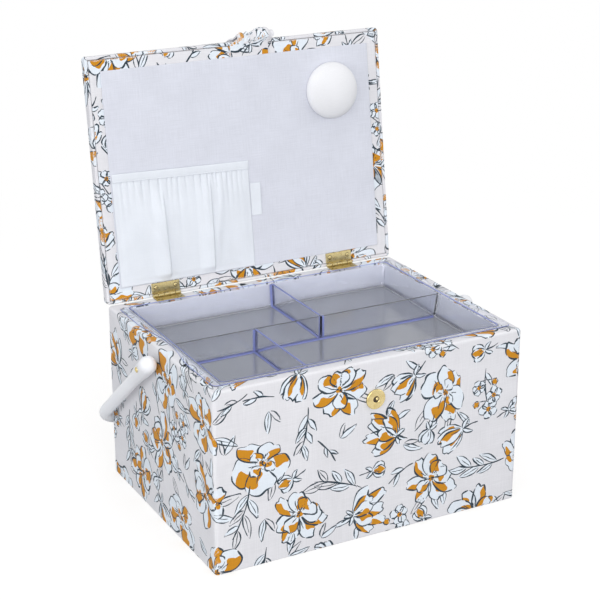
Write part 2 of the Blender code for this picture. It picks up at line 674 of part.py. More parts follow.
def add_pocket(looks, lid):
    """Gathered cloth pocket with its main folds, its elastic hem and the bare side label."""
    columns, rows = 36, 12
    face = LINING_UNDERSIDE - FIT_GAP
    left = LINING_LEFT + POCKET_SIDE_MARGIN
    back = LINING_BACK - POCKET_BACK_MARGIN
    work = bmesh.new()
    sheets = []
    for layer in (0, 1):
        sheet = []
        for j in range(rows + 1):
            line = []
            for i in range(columns + 1):
                across, up = i / columns, j / rows
                height = POCKET_HEIGHT_LEFT + (POCKET_HEIGHT_RIGHT - POCKET_HEIGHT_LEFT) * across
                cloth = height - POCKET_HEM_HEIGHT - FIT_GAP
                drop = layer * (POCKET_CLOTH_THICKNESS + pocket_depth(across, up))
                line.append(work.verts.new((left + POCKET_WIDTH * across, back - cloth * up, face - drop)))
            sheet.append(line)
        sheets.append(sheet)
    for layer, sheet in enumerate(sheets):
        for j in range(rows):
            for i in range(columns):
                work.faces.new((sheet[j][i], sheet[j][i + 1], sheet[j + 1][i + 1], sheet[j + 1][i]))
    upper, lower = sheets
    edge = [(0, i) for i in range(columns)] + [(j, columns) for j in range(rows)]
    edge += [(rows, i) for i in range(columns, 0, -1)] + [(j, 0) for j in range(rows, 0, -1)]
    for (j, i), (q, p) in zip(edge, edge[1:] + edge[:1]):
        work.faces.new((upper[j][i], upper[q][p], lower[q][p], lower[j][i]))
    finish("pocket", work, looks["pocket"], lid)

    hem = []
    for across, height in ((0, POCKET_HEIGHT_LEFT), (1, POCKET_HEIGHT_RIGHT)):
        x = left + POCKET_WIDTH * across
        hem += [(x, back - height + POCKET_HEM_HEIGHT), (x, back - height)]
    outline = [hem[0], hem[1], hem[3], hem[2]]
    finish("pocket_hem", slab(outline, face - POCKET_HEM_THICKNESS, face), looks["pocket"], lid)

    label_left = left + POCKET_WIDTH + LABEL_GAP
    label_low = LINING_BACK - LABEL_RISE - LABEL_HEIGHT
    work = block((label_left, label_low, face - LABEL_THICKNESS),
                 (label_left + LABEL_WIDTH, label_low + LABEL_HEIGHT, face))
    finish("side_label", work, looks["pocket"], lid)


def add_pincushion(looks, lid):
    """Domed pincushion, drawn in to its seam on the lining."""
    face = LINING_UNDERSIDE - FIT_GAP
    belly = PINCUSHION_HEIGHT * 0.22
    profile = [(PINCUSHION_SEAM_RADIUS, 0)]
    steps = 9
    for k in range(steps):
        angle = k / steps * math.pi / 2
        profile.append((PINCUSHION_RADIUS * math.cos(angle) ** 0.9,
                        belly + (PINCUSHION_HEIGHT - belly) * math.sin(angle)))
    profile.append((0, PINCUSHION_HEIGHT))
    frame = Matrix.Translation((PINCUSHION_X, PINCUSHION_Y, face))
    work = turned(profile, ROUND_SIDES, frame @ Matrix.Diagonal((1, 1, -1, 1)))
    finish("pincushion", work, looks["cushion"], lid)


def flap_outline(top):
    """Outline of the strap's flap in X and Z, with its lower corners rounded."""
    half = STRAP_WIDTH / 2
    inner = half - STRAP_CORNER_RADIUS
    points = [(STRAP_CENTRE_X - half, top), (STRAP_CENTRE_X + half, top)]
    for side, start in ((1, 0), (-1, -math.pi / 2)):
        for step in range(CORNER_STEPS + 1):
            angle = start - step / CORNER_STEPS * math.pi / 2
            points.append((STRAP_CENTRE_X + side * inner + STRAP_CORNER_RADIUS * math.cos(angle),
                           STRAP_CORNER_RADIUS * (1 + math.sin(angle)) - STRAP_FLAP_LENGTH))
    return points


def add_strap(looks, lid):
    """The cloth strap: its root on the lid, a neck that folds over the edge and a flap with the stud."""
    root_face = LID_UNDERSIDE - FIT_GAP
    left, right = STRAP_CENTRE_X - STRAP_WIDTH / 2, STRAP_CENTRE_X + STRAP_WIDTH / 2
    root = block((left, LID_FRONT, root_face - STRAP_ROOT_THICKNESS),
                 (right, LID_FRONT + LID_PANEL_BORDER - FIT_GAP, root_face))
    finish("strap_root", root, looks["print"], lid)

    neck_turn = STRAP_REST_LIFT - math.pi
    fold = add_empty("strap_fold_axis", (0, LID_FRONT - STRAP_STANDOFF, LID_UNDERSIDE), neck_turn, lid)
    side_view = [(STRAP_HALF * math.cos(k * math.pi / 8), STRAP_HALF * math.sin(k * math.pi / 8))
                 for k in range(9)]
    neck_end = FIT_GAP / 2 - STRAP_NECK_LENGTH
    side_view += [(-STRAP_HALF, neck_end), (STRAP_HALF, neck_end)]
    neck = loft([[Vector((x, y, z)) for y, z in side_view] for x in (left, right)])
    finish("strap_neck", neck, looks["print"], fold)

    plumb_turn = LID_OPEN_ANGLE - neck_turn - 2 * math.pi
    curl = add_empty("strap_curl_axis", (0, -STRAP_HALF, -STRAP_NECK_LENGTH), plumb_turn, fold)
    slant = STRAP_THICKNESS * math.tan(STRAP_SHUT_SPREAD)
    rings = [[Vector((x, y, z)) for x, z in flap_outline(-FIT_GAP / 2 - rise)]
             for y, rise in ((0, 0), (STRAP_THICKNESS, slant))]
    finish("strap_flap", loft(rings), looks["print"], curl)

    curl_drop = STRAP_NECK_LENGTH * math.cos(STRAP_SHUT_SPREAD) - STRAP_HALF * math.sin(STRAP_SHUT_SPREAD)
    seat = STRAP_THICKNESS + FIT_GAP
    crest = seat + SNAP_STUD_THICKNESS
    rounding = SNAP_BOSS_RADIUS / 4
    profile = [
        (0, seat), (SNAP_STUD_RADIUS, seat), (SNAP_STUD_RADIUS, crest), (SNAP_BOSS_RADIUS, crest),
        (SNAP_BOSS_RADIUS, crest + SNAP_BOSS_HEIGHT - rounding),
        (SNAP_BOSS_RADIUS - rounding, crest + SNAP_BOSS_HEIGHT), (0, crest + SNAP_BOSS_HEIGHT),
    ]
    frame = Matrix.Translation((SNAP_X, 0, curl_drop - STRAP_SHUT_REACH)) @ Matrix.Rotation(-math.pi / 2, 4, "X")
    finish("snap_stud", turned(profile, ROUND_SIDES, frame), looks["brass"], curl)


def add_snap_socket(looks):
    """The snap's socket on the front wall: casing, ring magnet, pronged back plate and washer."""
    face = -BOX_DEPTH / 2
    back = FIT_GAP + SNAP_SHEET
    out = FIT_GAP + SNAP_THICKNESS
    rounding = SNAP_SHEET
    casing = [
        (SNAP_RADIUS - SNAP_SHEET, FIT_GAP), (SNAP_RADIUS, FIT_GAP), (SNAP_RADIUS, out - rounding),
        (SNAP_RADIUS - rounding, out), (SNAP_HOLE_RADIUS, out), (SNAP_HOLE_RADIUS, out - SNAP_SHEET),
        (SNAP_RADIUS - SNAP_SHEET, out - SNAP_SHEET),
    ]
    frame = along_front(SNAP_X, face, SNAP_Z)
    finish("snap_socket", turned_ring(casing, ROUND_SIDES, frame), looks["brass"])
    bore = SNAP_HOLE_RADIUS * SNAP_MAGNET_BORE_SHARE
    rim = SNAP_RADIUS - SNAP_SHEET - FIT_GAP
    magnet = [(bore, back + FIT_GAP), (rim, back + FIT_GAP),
              (rim, out - SNAP_SHEET - FIT_GAP), (bore, out - SNAP_SHEET - FIT_GAP)]
    finish("snap_magnet", turned_ring(magnet, ROUND_SIDES, frame), looks["magnet"])
    disc = turned([(rim, FIT_GAP), (rim, back)], ROUND_SIDES, frame)
    plate = finish("snap_back_plate", disc, looks["brass"])
    prong_end = face + WALL_INSET + SNAP_PRONG_LENGTH - FIT_GAP
    unite(plate, prong_blocks(face - back + SNAP_SHEET / 2, prong_end, 0))
    washer_face = face + WALL_INSET - FIT_GAP / 2
    washer = rod(SNAP_WASHER_RADIUS, (SNAP_X, washer_face, SNAP_Z),
                 (SNAP_X, washer_face + SNAP_WASHER_THICKNESS - FIT_GAP / 2, SNAP_Z), ROUND_SIDES)
    washer = finish("snap_washer", washer, looks["brass"])
    cut(washer, prong_blocks(face, face + WALL_INSET + CUT_OVERRUN, FIT_GAP))


def handle_length():
    """Distance from pivot to grip that lets the bends just clear the box's back corners, seen in plan."""
    corner_x = BOX_WIDTH / 2 - CORNER_RADIUS
    corner_y = BOX_DEPTH / 2 - CORNER_RADIUS
    needed = CORNER_RADIUS + HANDLE_CORNER_CLEARANCE + HANDLE_RADIUS
    squash = math.cos(HANDLE_HANG_ANGLE)
    angles = [k / 90 * math.pi / 2 for k in range(91)]
    shortest = (BOX_DEPTH / 2 + HANDLE_CORNER_CLEARANCE + HANDLE_RADIUS - HANDLE_PIVOT_Y) / squash
    longest = shortest + 2 * HANDLE_BEND_RADIUS
    for _ in range(40):
        length = (shortest + longest) / 2
        gap = min(math.hypot(
            HANDLE_ARM_X - HANDLE_BEND_RADIUS * (1 - math.cos(a)) - corner_x,
            HANDLE_PIVOT_Y + (length - HANDLE_BEND_RADIUS * (1 - math.sin(a))) * squash - corner_y,
        ) for a in angles)
        centre_inside = HANDLE_PIVOT_Y + (length - HANDLE_BEND_RADIUS * (1 - math.sin(math.pi / 4))) * squash
        if gap < needed or centre_inside < corner_y:
            shortest = length
        else:
            longest = length
    return longest


def handle_path():
    """Centre line of half the handle, from its left end to the middle of the grip, with radii."""
    length = handle_length()
    points = []
    for k in range(4):
        angle = (1 - k / 4) * math.pi / 2
        y = -HANDLE_END_OVERHANG - HANDLE_END_RADIUS * math.sin(angle)
        radius = HANDLE_END_RADIUS * math.cos(angle)
        if radius > FIT_GAP:
            points.append((Vector((-HANDLE_ARM_X, y, 0)), radius))
    straight_end = length - HANDLE_BEND_RADIUS
    for k in range(8):
        y = -HANDLE_END_OVERHANG + (straight_end + HANDLE_END_OVERHANG) * k / 8
        share = min(max((y + HANDLE_END_OVERHANG) / HANDLE_TAPER_LENGTH, 0), 1)
        ease = share * share * (3 - 2 * share)
        points.append((Vector((-HANDLE_ARM_X, y, 0)),
                       HANDLE_END_RADIUS + (HANDLE_RADIUS - HANDLE_END_RADIUS) * ease))
    for k in range(9):
        angle = k / 8 * math.pi / 2
        points.append((Vector((
            -HANDLE_ARM_X + HANDLE_BEND_RADIUS * (1 - math.cos(angle)),
            straight_end + HANDLE_BEND_RADIUS * math.sin(angle), 0)), HANDLE_RADIUS))
    for k in range(1, 3):
        start = -HANDLE_ARM_X + HANDLE_BEND_RADIUS
        points.append((Vector((start * (1 - k / 2), length, 0)), HANDLE_RADIUS))
    return points


def handle_screw_hole(side, bite):
    """Cutter for the pivot screw's hole, from outside the wall to a depth behind its face."""
    outside = side * (BOX_WIDTH / 2 + CUT_OVERRUN)
    inside = side * (BOX_WIDTH / 2 - WALL_INSET - bite)
    return rod(HANDLE_SCREW_RADIUS + FIT_GAP, (outside, HANDLE_PIVOT_Y, HANDLE_PIVOT_Z),
               (inside, HANDLE_PIVOT_Y, HANDLE_PIVOT_Z))


def add_handle(looks):
    """Moulded bail handle on two screws with brass spacers."""
    pivot = add_empty("handle_axis", (0, HANDLE_PIVOT_Y, HANDLE_PIVOT_Z), -HANDLE_HANG_ANGLE)
    left = handle_path()
    right = [(Vector((-point.x, point.y, point.z)), radius) for point, radius in reversed(left[:-1])]
    path = left + right
    rings = []
    for k, (point, radius) in enumerate(path):
        ahead = path[min(k + 1, len(path) - 1)][0]
        behind = path[max(k - 1, 0)][0]
        forward = (ahead - behind).normalized()
        sideways = Vector((forward.y, -forward.x, 0))
        rings.append([
            point + radius * (math.cos(a) * sideways + math.sin(a) * Vector((0, 0, 1)))
            for a in (2 * math.pi * n / HANDLE_SIDES for n in range(HANDLE_SIDES))
        ])
    handle = finish("handle", loft(rings), looks["handle"], pivot)
    reach = HANDLE_ARM_X + HANDLE_END_RADIUS + CUT_OVERRUN
    bore = HANDLE_SCREW_RADIUS + RUNNING_CLEARANCE
    for side in (-1, 1):
        near = side * (HANDLE_ARM_X - HANDLE_END_RADIUS - CUT_OVERRUN)
        cut(handle, rod(bore, (near, 0, 0), (side * reach, 0, 0)))

    crest = HANDLE_ARM_X + HANDLE_END_RADIUS + FIT_GAP
    wall = BOX_WIDTH / 2
    for name, side in (("left", -1), ("right", 1)):
        frame = along_x(0, HANDLE_PIVOT_Y, HANDLE_PIVOT_Z) @ Matrix.Diagonal((1, 1, side, 1))
        tip = wall - WALL_INSET - HANDLE_SCREW_BITE
        recess = crest + HANDLE_SCREW_HEAD_HEIGHT - HANDLE_SCREW_RECESS_DEPTH
        screw = turned([
            (0, tip), (HANDLE_SCREW_RADIUS, tip + HANDLE_SCREW_RADIUS), (HANDLE_SCREW_RADIUS, crest),
            (HANDLE_SCREW_HEAD_RADIUS, crest), (HANDLE_SCREW_HEAD_RADIUS, crest + HANDLE_SCREW_HEAD_HEIGHT),
            (HANDLE_SCREW_RECESS_RADIUS, crest + HANDLE_SCREW_HEAD_HEIGHT),
            (HANDLE_SCREW_RECESS_RADIUS, recess), (0, recess),
        ], SMALL_SIDES, frame)
        finish(f"{name}_handle_screw", screw, looks["brass"])
        inner = HANDLE_SCREW_RADIUS + FIT_GAP
        near, far = wall + FIT_GAP, HANDLE_ARM_X - HANDLE_END_RADIUS - FIT_GAP
        spacer = turned_ring([
            (inner, near), (HANDLE_SPACER_RADIUS, near), (HANDLE_SPACER_RADIUS, far), (inner, far),
        ], SMALL_SIDES, frame)
        finish(f"{name}_handle_spacer", spacer, looks["brass"])


def drafted_well(low_x, high_x, low_y, high_y, floor, top, drafts):
    """A rounded well that narrows downwards. Drafts are the narrowing at left, right, front and back."""
    left, right, front, back = drafts
    rings = []
    for height, share in ((floor, 1), (top, 0)):
        x0, x1 = low_x + left * share, high_x - right * share
        y0, y1 = low_y + front * share, high_y - back * share
        outline = rounded_rectangle((x1 - x0) / 2, (y1 - y0) / 2, TRAY_FILLET, (y0 + y1) / 2)
        rings.append([Vector((x + (x0 + x1) / 2, y, height)) for x, y in outline])
    return loft(rings)


def add_tray(looks):
    """Clear moulded tray: drafted shell, three-sided flange and crossed dividers with four wells."""
    under = TRAY_FLOOR - TRAY_SHEET
    rings = []
    for height, share in ((under, 1), (TRAY_TOP, 0)):
        outline = rounded_rectangle(TRAY_HALF_X - TRAY_DRAFT * share, TRAY_HALF_Y - TRAY_DRAFT * share,
                                    TRAY_CORNER_RADIUS)
        rings.append(ring_at(outline, height))
    tray = finish("tray", loft(rings), looks["tray"])
    flange_x = TRAY_HALF_X + TRAY_FLANGE_WIDTH
    front = -TRAY_HALF_Y - TRAY_FRONT_FLANGE_WIDTH
    middle = (front + TRAY_HALF_Y) / 2
    outline = rounded_rectangle(flange_x, (TRAY_HALF_Y - front) / 2, TRAY_CORNER_RADIUS, middle)
    unite(tray, slab(outline, TRAY_TOP - TRAY_FLANGE_THICKNESS, TRAY_TOP))

    wall_x = TRAY_HALF_X - TRAY_SHEET
    wall_y = TRAY_HALF_Y - TRAY_SHEET
    half = TRAY_DIVIDER_THICKNESS / 2
    side, thin = TRAY_DRAFT, TRAY_DIVIDER_DRAFT
    divider_top = TRAY_TOP - TRAY_DIVIDER_DROP
    wells = [
        (-wall_x, TRAY_BACK_DIVIDER_X - half, half, wall_y, (side, thin, thin, side)),
        (TRAY_BACK_DIVIDER_X + half, wall_x, half, wall_y, (thin, side, thin, side)),
        (-wall_x, TRAY_FRONT_DIVIDER_X - half, -wall_y, -half, (side, thin, side, thin)),
        (TRAY_FRONT_DIVIDER_X + half, wall_x, -wall_y, -half, (thin, side, side, thin)),
    ]
    for x0, x1, y0, y1, drafts in wells:
        cut(tray, drafted_well(x0, x1, y0, y1, TRAY_FLOOR, divider_top, drafts))
    mouth = rounded_rectangle(wall_x, wall_y, TRAY_CORNER_RADIUS - TRAY_SHEET)
    cut(tray, slab(mouth, divider_top - FIT_GAP / 3, TRAY_TOP + CUT_OVERRUN))


def build():
    """Build every piece."""
    clear_scene()
    looks = make_materials()
    add_wall_boards(looks)
    add_box_cover(looks)
    add_lining(looks)
    add_box_hinges(looks)
    add_snap_socket(looks)
    add_handle(looks)
    add_tray(looks)
    lid = add_empty("lid_hinge_axis", (0, HINGE_AXIS_Y, HINGE_AXIS_Z), -LID_OPEN_ANGLE)
    add_lid(looks, lid)
    add_pocket(looks, lid)
    add_pincushion(looks, lid)
    add_strap(looks, lid)
    bpy.context.view_layer.update()


build()
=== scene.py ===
"""Looks of a fabric-covered sewing box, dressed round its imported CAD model.

Metres, +Z up, the model's own frame. The lid's pieces are worked out shut, on the
hinge line, and then turned open with it.
"""
import math

import bmesh
import bpy
import numpy as np
from mathutils import Matrix, Vector


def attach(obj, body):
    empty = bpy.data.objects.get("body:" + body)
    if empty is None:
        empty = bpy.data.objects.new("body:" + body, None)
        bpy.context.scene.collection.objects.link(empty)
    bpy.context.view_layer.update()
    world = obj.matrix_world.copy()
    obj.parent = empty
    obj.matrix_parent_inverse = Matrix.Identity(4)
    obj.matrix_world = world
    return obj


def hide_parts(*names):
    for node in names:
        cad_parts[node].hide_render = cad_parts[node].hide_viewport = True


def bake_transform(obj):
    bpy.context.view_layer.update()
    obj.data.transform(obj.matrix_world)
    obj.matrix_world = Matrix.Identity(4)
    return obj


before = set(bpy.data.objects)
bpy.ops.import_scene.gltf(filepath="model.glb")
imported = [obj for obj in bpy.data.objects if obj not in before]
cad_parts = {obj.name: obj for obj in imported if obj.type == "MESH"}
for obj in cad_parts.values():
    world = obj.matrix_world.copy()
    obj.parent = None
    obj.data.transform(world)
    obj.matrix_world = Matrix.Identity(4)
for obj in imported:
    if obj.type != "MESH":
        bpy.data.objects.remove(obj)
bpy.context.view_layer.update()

MM = 0.001

# Lengths in metres, as the CAD has them. The lid's own are those of the shut lid, seen from the hinge line
HALF_X, HALF_Y, HEIGHT = 0.160, 0.120, 0.177
CORNER, RIM = 0.0035, 0.0025
LINING_HALF_X, LINING_HALF_Y, LINING_THICKNESS = 0.1479, 0.1079, 0.0020
HINGE = np.array([0, 118.5, 179.0]) * MM
HINGE_X, HINGE_HALF = 0.098, 0.015
LID_OPEN = math.radians(97.9)
LID_MID_Y, LID_TOP = -0.1185, 0.0120
LID_CROWN, LID_CROWN_WIDTH = 0.0025, 0.030
PANEL_HALF_X, PANEL_HALF_Y, PANEL_EDGE = 0.1565, 0.1165, 0.0011
SNAP_X, SNAP_Z = 0.001, 0.1385
STRAP_X, STRAP_HALF, FLAP_CORNER = 0.012, 0.021, 0.009
PIVOT_Y, PIVOT_Z = 0.0015, 0.1575

# Points nearer than WELD are one, edges shorter than SLIVER go, and corners are no sharper than SHARPEST
WELD, SLIVER, SHARPEST = 2e-6, 1e-7, 0.0004


# ---------------------------------------------------------------- shapes

def ease(t):
    """Smooth step: 3t^2 - 2t^3 on t held between 0 and 1."""
    t = np.clip(t, 0, 1)
    return t * t * (3 - 2 * t)


def sway(u, v, size, seed, waves=9):
    """Soft unevenness between about -1 and 1: a sum of sines in seeded directions, of wavelengths round size."""
    rng = np.random.default_rng(seed)
    total = np.zeros(np.broadcast(u, v).shape)
    for _ in range(waves):
        angle, phase, stretch = rng.uniform(0, 2 * np.pi), rng.uniform(0, 2 * np.pi), rng.uniform(0.7, 1.6)
        total += np.sin(2 * np.pi * (u * np.cos(angle) + v * np.sin(angle)) / (size * stretch) + phase)
    return total / math.sqrt(waves * 2)


def rim_samples(across, along, corner):
    """A rounded rectangle's samples, from the middle of its back round by the left.

    Each has its side shares across and along, and its outward angle.
    """
    half, side, front = across // 2, np.linspace(1, -1, along + 1), np.linspace(-1, 1, across + 1)
    turn = np.linspace(0, np.pi / 2, corner + 1)[1:-1]
    parts = [
        (np.linspace(0, -1, half + 1), 1, np.pi / 2), (-1, 1, np.pi / 2 + turn),
        (-1, side, np.pi), (-1, -1, np.pi + turn),
        (front, -1, 1.5 * np.pi), (1, -1, 1.5 * np.pi + turn),
        (1, -side, 2 * np.pi), (1, 1, 2 * np.pi + turn),
        (np.linspace(1, 0, half + 1), 1, 2.5 * np.pi),
    ]
    rows = [np.broadcast_arrays(*part) for part in parts]
    return [np.concatenate([row[k] for row in rows]) for k in range(3)]


def rounded_loop(samples, half_x, half_y, radius, middle_y=0.0):
    """Points of a rounded rectangle: the corner's centre, plus its radius along the outward angle."""
    side_x, side_y, angle = samples
    radius = max(0.0, min(max(radius, SHARPEST), half_x, half_y))
    return np.stack([side_x * (half_x - radius) + radius * np.cos(angle),
                     middle_y + side_y * (half_y - radius) + radius * np.sin(angle)], -1)


def stacked(samples, profile, half_x, half_y, corner, middle_y=0.0):
    """Rows of a rounded rectangle, one for each (inset, height) of a profile, as a grid of points."""
    rows = []
    for inset, height in profile:
        flat = rounded_loop(samples, half_x - inset, half_y - inset, corner - inset, middle_y)
        rows.append(np.concatenate([flat, np.full((len(flat), 1), height)], 1))
    return np.array(rows)


def arc(centre, radius, start, end, steps):
    """(inset, height) points round part of a circle, angles in degrees."""
    angles = np.radians(np.linspace(start, end, steps + 1))
    return [(centre[0] + radius * math.cos(a), centre[1] + radius * math.sin(a)) for a in angles]


def turned(profile, steps=48):
    """A surface of revolution: (radius, height) points turned about Z, as a grid of points."""
    angles = np.linspace(0, 2 * np.pi, steps + 1)
    profile = np.array(profile, float)
    radius, height = profile[:, :1], profile[:, 1:]
    height = np.broadcast_to(height, (len(profile), steps + 1))
    return np.stack([radius * np.cos(angles), radius * np.sin(angles), height], -1)


def swept(path, widths, heights, side, sides=32, power=2.0):
    """A superelliptic section carried along a path of points; side is the section's own first axis."""
    ahead = np.gradient(path, axis=0)
    ahead /= np.linalg.norm(ahead, axis=1, keepdims=True)
    side = np.broadcast_to(side, path.shape)
    across = side - (side * ahead).sum(1, keepdims=True) * ahead
    across /= np.linalg.norm(across, axis=1, keepdims=True)
    up = np.cross(ahead, across)
    a = np.linspace(0, 2 * np.pi, sides + 1)
    c, s = np.cos(a), np.sin(a)
    c, s = np.sign(c) * np.abs(c) ** (2 / power), np.sign(s) * np.abs(s) ** (2 / power)
    widths, heights = np.broadcast_to(widths, len(path)), np.broadcast_to(heights, len(path))
    return (path[:, None] + (widths[:, None] * c)[..., None] * across[:, None]
            + (heights[:, None] * s)[..., None] * up[:, None])


def card(low, high, edge, crown=0.0, fineness=0.004, seed=1, unevenness=0.0):
    """A covered card: a rounded rectangle whose edge rolls over a quarter ellipse, its top face up by a soft crown.

    Rows go from the middle of the underside out, round the edge and back over the top to its middle.
    """
    low, high = np.array(low), np.array(high)
    half, middle = (high - low)[:2] / 2, (low + high)[:2] / 2
    across, along = (2 * int(math.ceil(h / fineness)) for h in half)
    samples = rim_samples(across, along, 4)
    thick, corner = high[2] - low[2], edge * 1.2
    short = min(half)
    roll = [(edge * (1 - math.sin(a)), low[2] + (thick / 2) * (1 - math.cos(a)))
            for a in np.linspace(0, np.pi / 2, 4)]
    roll += [(edge * (1 - math.cos(a)), low[2] + thick / 2 + (thick / 2) * math.sin(a))
             for a in np.linspace(0, np.pi / 2, 8)[1:]]
    inner = edge + (short - edge) * np.linspace(0, 1, max(3, int(short / fineness)))[1:]
    profile = [(short, low[2])] + roll + [(inset, high[2]) for inset in inner]
    grid = stacked(samples, profile, half[0], half[1], corner) + [*middle, 0]
    top = grid[..., 2] > low[2] + thick * 0.5
    inset = np.array([p[0] for p in profile])[:, None]
    uneven = unevenness * sway(grid[..., 0], grid[..., 1], 0.05, seed) * ease(inset / 0.006)
    rise = crown * ease(inset / 0.012) + uneven
    grid[..., 2] += np.where(top, rise, 0)
    return grid


def placed(grid, turn_x=0.0, at=(0, 0, 0)):
    """Points turned about the X axis and then moved."""
    c, s = math.cos(turn_x), math.sin(turn_x)
    turn = np.array([[1, 0, 0], [0, c, -s], [0, s, c]])
    return grid @ turn.T + np.array(at)


def opened(grid):
    """Points of the shut lid, on its hinge line, turned open into place."""
    return placed(grid, -LID_OPEN, HINGE)


# ---------------------------------------------------------------- pieces

def meshed(name, points, quads, numbers, cloth, finishes):
    """A mesh of quads: points, each quad's point numbers and finish number, and its corners' cloth coordinates."""
    mesh = bpy.data.meshes.new(name)
    mesh.vertices.add(len(points))
    mesh.vertices.foreach_set("co", points.astype(np.float32).ravel())
    mesh.loops.add(quads.size)
    mesh.loops.foreach_set("vertex_index", quads.astype(np.int32).ravel())
    mesh.polygons.add(len(quads))
    mesh.polygons.foreach_set("loop_start", np.arange(0, quads.size, 4, dtype=np.int32))
    mesh.polygons.foreach_set("material_index", numbers.astype(np.int32))
    mesh.update(calc_edges=True)
    mesh.uv_layers.new(name="cloth").data.foreach_set("uv", cloth.astype(np.float32).ravel())
    for held in finishes:
        mesh.materials.append(held)
    return mesh


def in_scene(name, mesh):
    """The mesh as an object of the scene."""
    thing = bpy.data.objects.new(name, mesh)
    bpy.context.scene.collection.objects.link(thing)
    return thing


def piece(name, patches, finishes, body, stands_for=(), sharp=40, shut=True):
    """One mesh from patches. A patch is (grid of points, grid of cloth coordinates or None, finish number).

    Each grid of rows and columns becomes quads, and points that coincide at seams and poles are joined.
    """
    points, loops, cloth, finish_of, start = [], [], [], [], 0
    for grid, flat, number in patches:
        rows, columns = grid.shape[:2]
        index = start + np.arange(rows * columns).reshape(rows, columns)
        quad = np.stack([index[:-1, :-1], index[:-1, 1:], index[1:, 1:], index[1:, :-1]], -1).reshape(-1, 4)
        points.append(grid.reshape(-1, 3))
        loops.append(quad)
        cloth.append((grid[..., :2] if flat is None else flat).reshape(-1, 2))
        finish_of.append(np.full(len(quad), number))
        start += rows * columns
    points, loops, cloth = np.concatenate(points), np.concatenate(loops), np.concatenate(cloth)
    mesh = meshed(name, points, loops, np.concatenate(finish_of), cloth[loops.ravel()], finishes)
    work = bmesh.new()
    work.from_mesh(mesh)
    bmesh.ops.remove_doubles(work, verts=work.verts, dist=WELD)
    bmesh.ops.dissolve_degenerate(work, dist=SLIVER, edges=work.edges)
    if shut:
        bmesh.ops.recalc_face_normals(work, faces=work.faces)
    work.to_mesh(mesh)
    work.free()
    mesh.shade_smooth()
    mesh.set_sharp_from_angle(angle=math.radians(sharp))
    thing = in_scene(name, mesh)
    if body:
        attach(thing, body)
    if stands_for:
        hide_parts(*stands_for)
    return thing


# ---------------------------------------------------------------- finishes

def tint(code):
    """sRGB hex colour as linear RGBA."""
    values = [int(code[k:k + 2], 16) / 255 for k in (1, 3, 5)]
    return [v / 12.92 if v <= 0.04045 else ((v + 0.055) / 1.055) ** 2.4 for v in values] + [1]


def add(tree, kind, *values, named=None, **settings):
    """Adds one node. Settings are its properties, values go to its inputs in order, and named ones by name.

    Each value is a constant, a socket, or a node, whose first output is meant.
    """
    made = tree.nodes.new("ShaderNode" + kind)
    for key, value in settings.items():
        setattr(made, key, value)
    for key, value in list(enumerate(values)) + list((named or {}).items()):
        if value is None:
            continue
        if isinstance(value, bpy.types.Node):
            value = value.outputs[0]
        if isinstance(value, bpy.types.NodeSocket):
            tree.links.new(value, made.inputs[key])
        else:
            made.inputs[key].default_value = value
    return made


def finish(name, **surface):
    """A material with its Principled shader's constant values set, and its tree and shader."""
    material = bpy.data.materials.new(name)
    material.use_nodes = True
    tree = material.node_tree
    shader = tree.nodes["Principled BSDF"]
    for key, value in surface.items():
        shader.inputs[key.replace("_", " ")].default_value = value
    return material, tree, shader


def wired(tree, shader, colour=None, rough=None, height=None, relief=0.0):
    """Links a colour, a roughness and a height, whose relief is in millimetres, to a shader."""
    if colour is not None:
        tree.links.new(colour, shader.inputs["Base Color"])
    if rough is not None:
        tree.links.new(rough, shader.inputs["Roughness"])
    if height is not None:
        bump = add(tree, "Bump", named={"Strength": 1.0, "Distance": relief * MM, "Height": height})
        tree.links.new(bump.outputs[0], shader.inputs["Normal"])


def woven(name, colour, slub, thread, contrast, relief, roughness=0.88, sheen=0.12, uv=True):
    """Woven cotton: thicker threads that run both ways as soft streaks, and the crossing of the threads as relief.

    slub is the streaks' width and thread the weave's pitch, both in millimetres. The real pitch is near 0.4 mm,
    which is too fine to show, so it is drawn coarser.
    """
    material, tree, shader = finish(name, Roughness=roughness, Sheen_Weight=sheen, Sheen_Roughness=0.5,
                                    Specular_IOR_Level=0.25)
    place = add(tree, "UVMap", uv_map="cloth") if uv else add(tree, "TexCoord").outputs["Object"]
    streaks, long = [], slub * 26
    for scale in ((1 / long, 1 / slub, 1), (1 / slub, 1 / long, 1)):
        spot = add(tree, "Mapping", place, named={"Scale": [v * 1000 for v in scale]})
        streaks.append(add(tree, "TexNoise", spot, named={"Scale": 1.0, "Detail": 2.0, "Roughness": 0.6}).outputs[0])
    cross = add(tree, "Math", streaks[0], streaks[1], operation="ADD").outputs[0]
    cloud = add(tree, "Mapping", place, named={"Scale": (30, 30, 30)})
    cloud = add(tree, "TexNoise", cloud, named={"Scale": 1.0, "Detail": 3.0}).outputs[0]
    level = add(tree, "MapRange", cross, 0.72, 1.28, 0.0, 1.0).outputs[0]
    dark = [v * (1 - contrast) for v in tint(colour)[:3]] + [1]
    light = [min(1, v * (1 + contrast * 0.55)) for v in tint(colour)[:3]] + [1]
    threads = add(tree, "Mix", level, named={6: dark, 7: light}, data_type="RGBA").outputs[2]
    shade = add(tree, "MapRange", cloud, 0.3, 0.7, 0.97, 1.02).outputs[0]
    shade = add(tree, "CombineColor", shade, shade, shade).outputs[0]
    worn = add(tree, "Mix", 1.0, named={6: threads, 7: shade}, data_type="RGBA", blend_type="MULTIPLY").outputs[2]
    axes = add(tree, "SeparateXYZ", place)
    waves = []
    for axis in (0, 1):
        turns = add(tree, "Math", axes.outputs[axis], 2 * math.pi / (thread * MM), operation="MULTIPLY")
        waves.append(add(tree, "Math", turns, operation="SINE").outputs[0])
    weave = add(tree, "Math", waves[0], waves[1], operation="MULTIPLY").outputs[0]
    wired(tree, shader, worn, None, add(tree, "Math", weave, 0.35, cross, operation="MULTIPLY_ADD").outputs[0],
          relief)
    return material


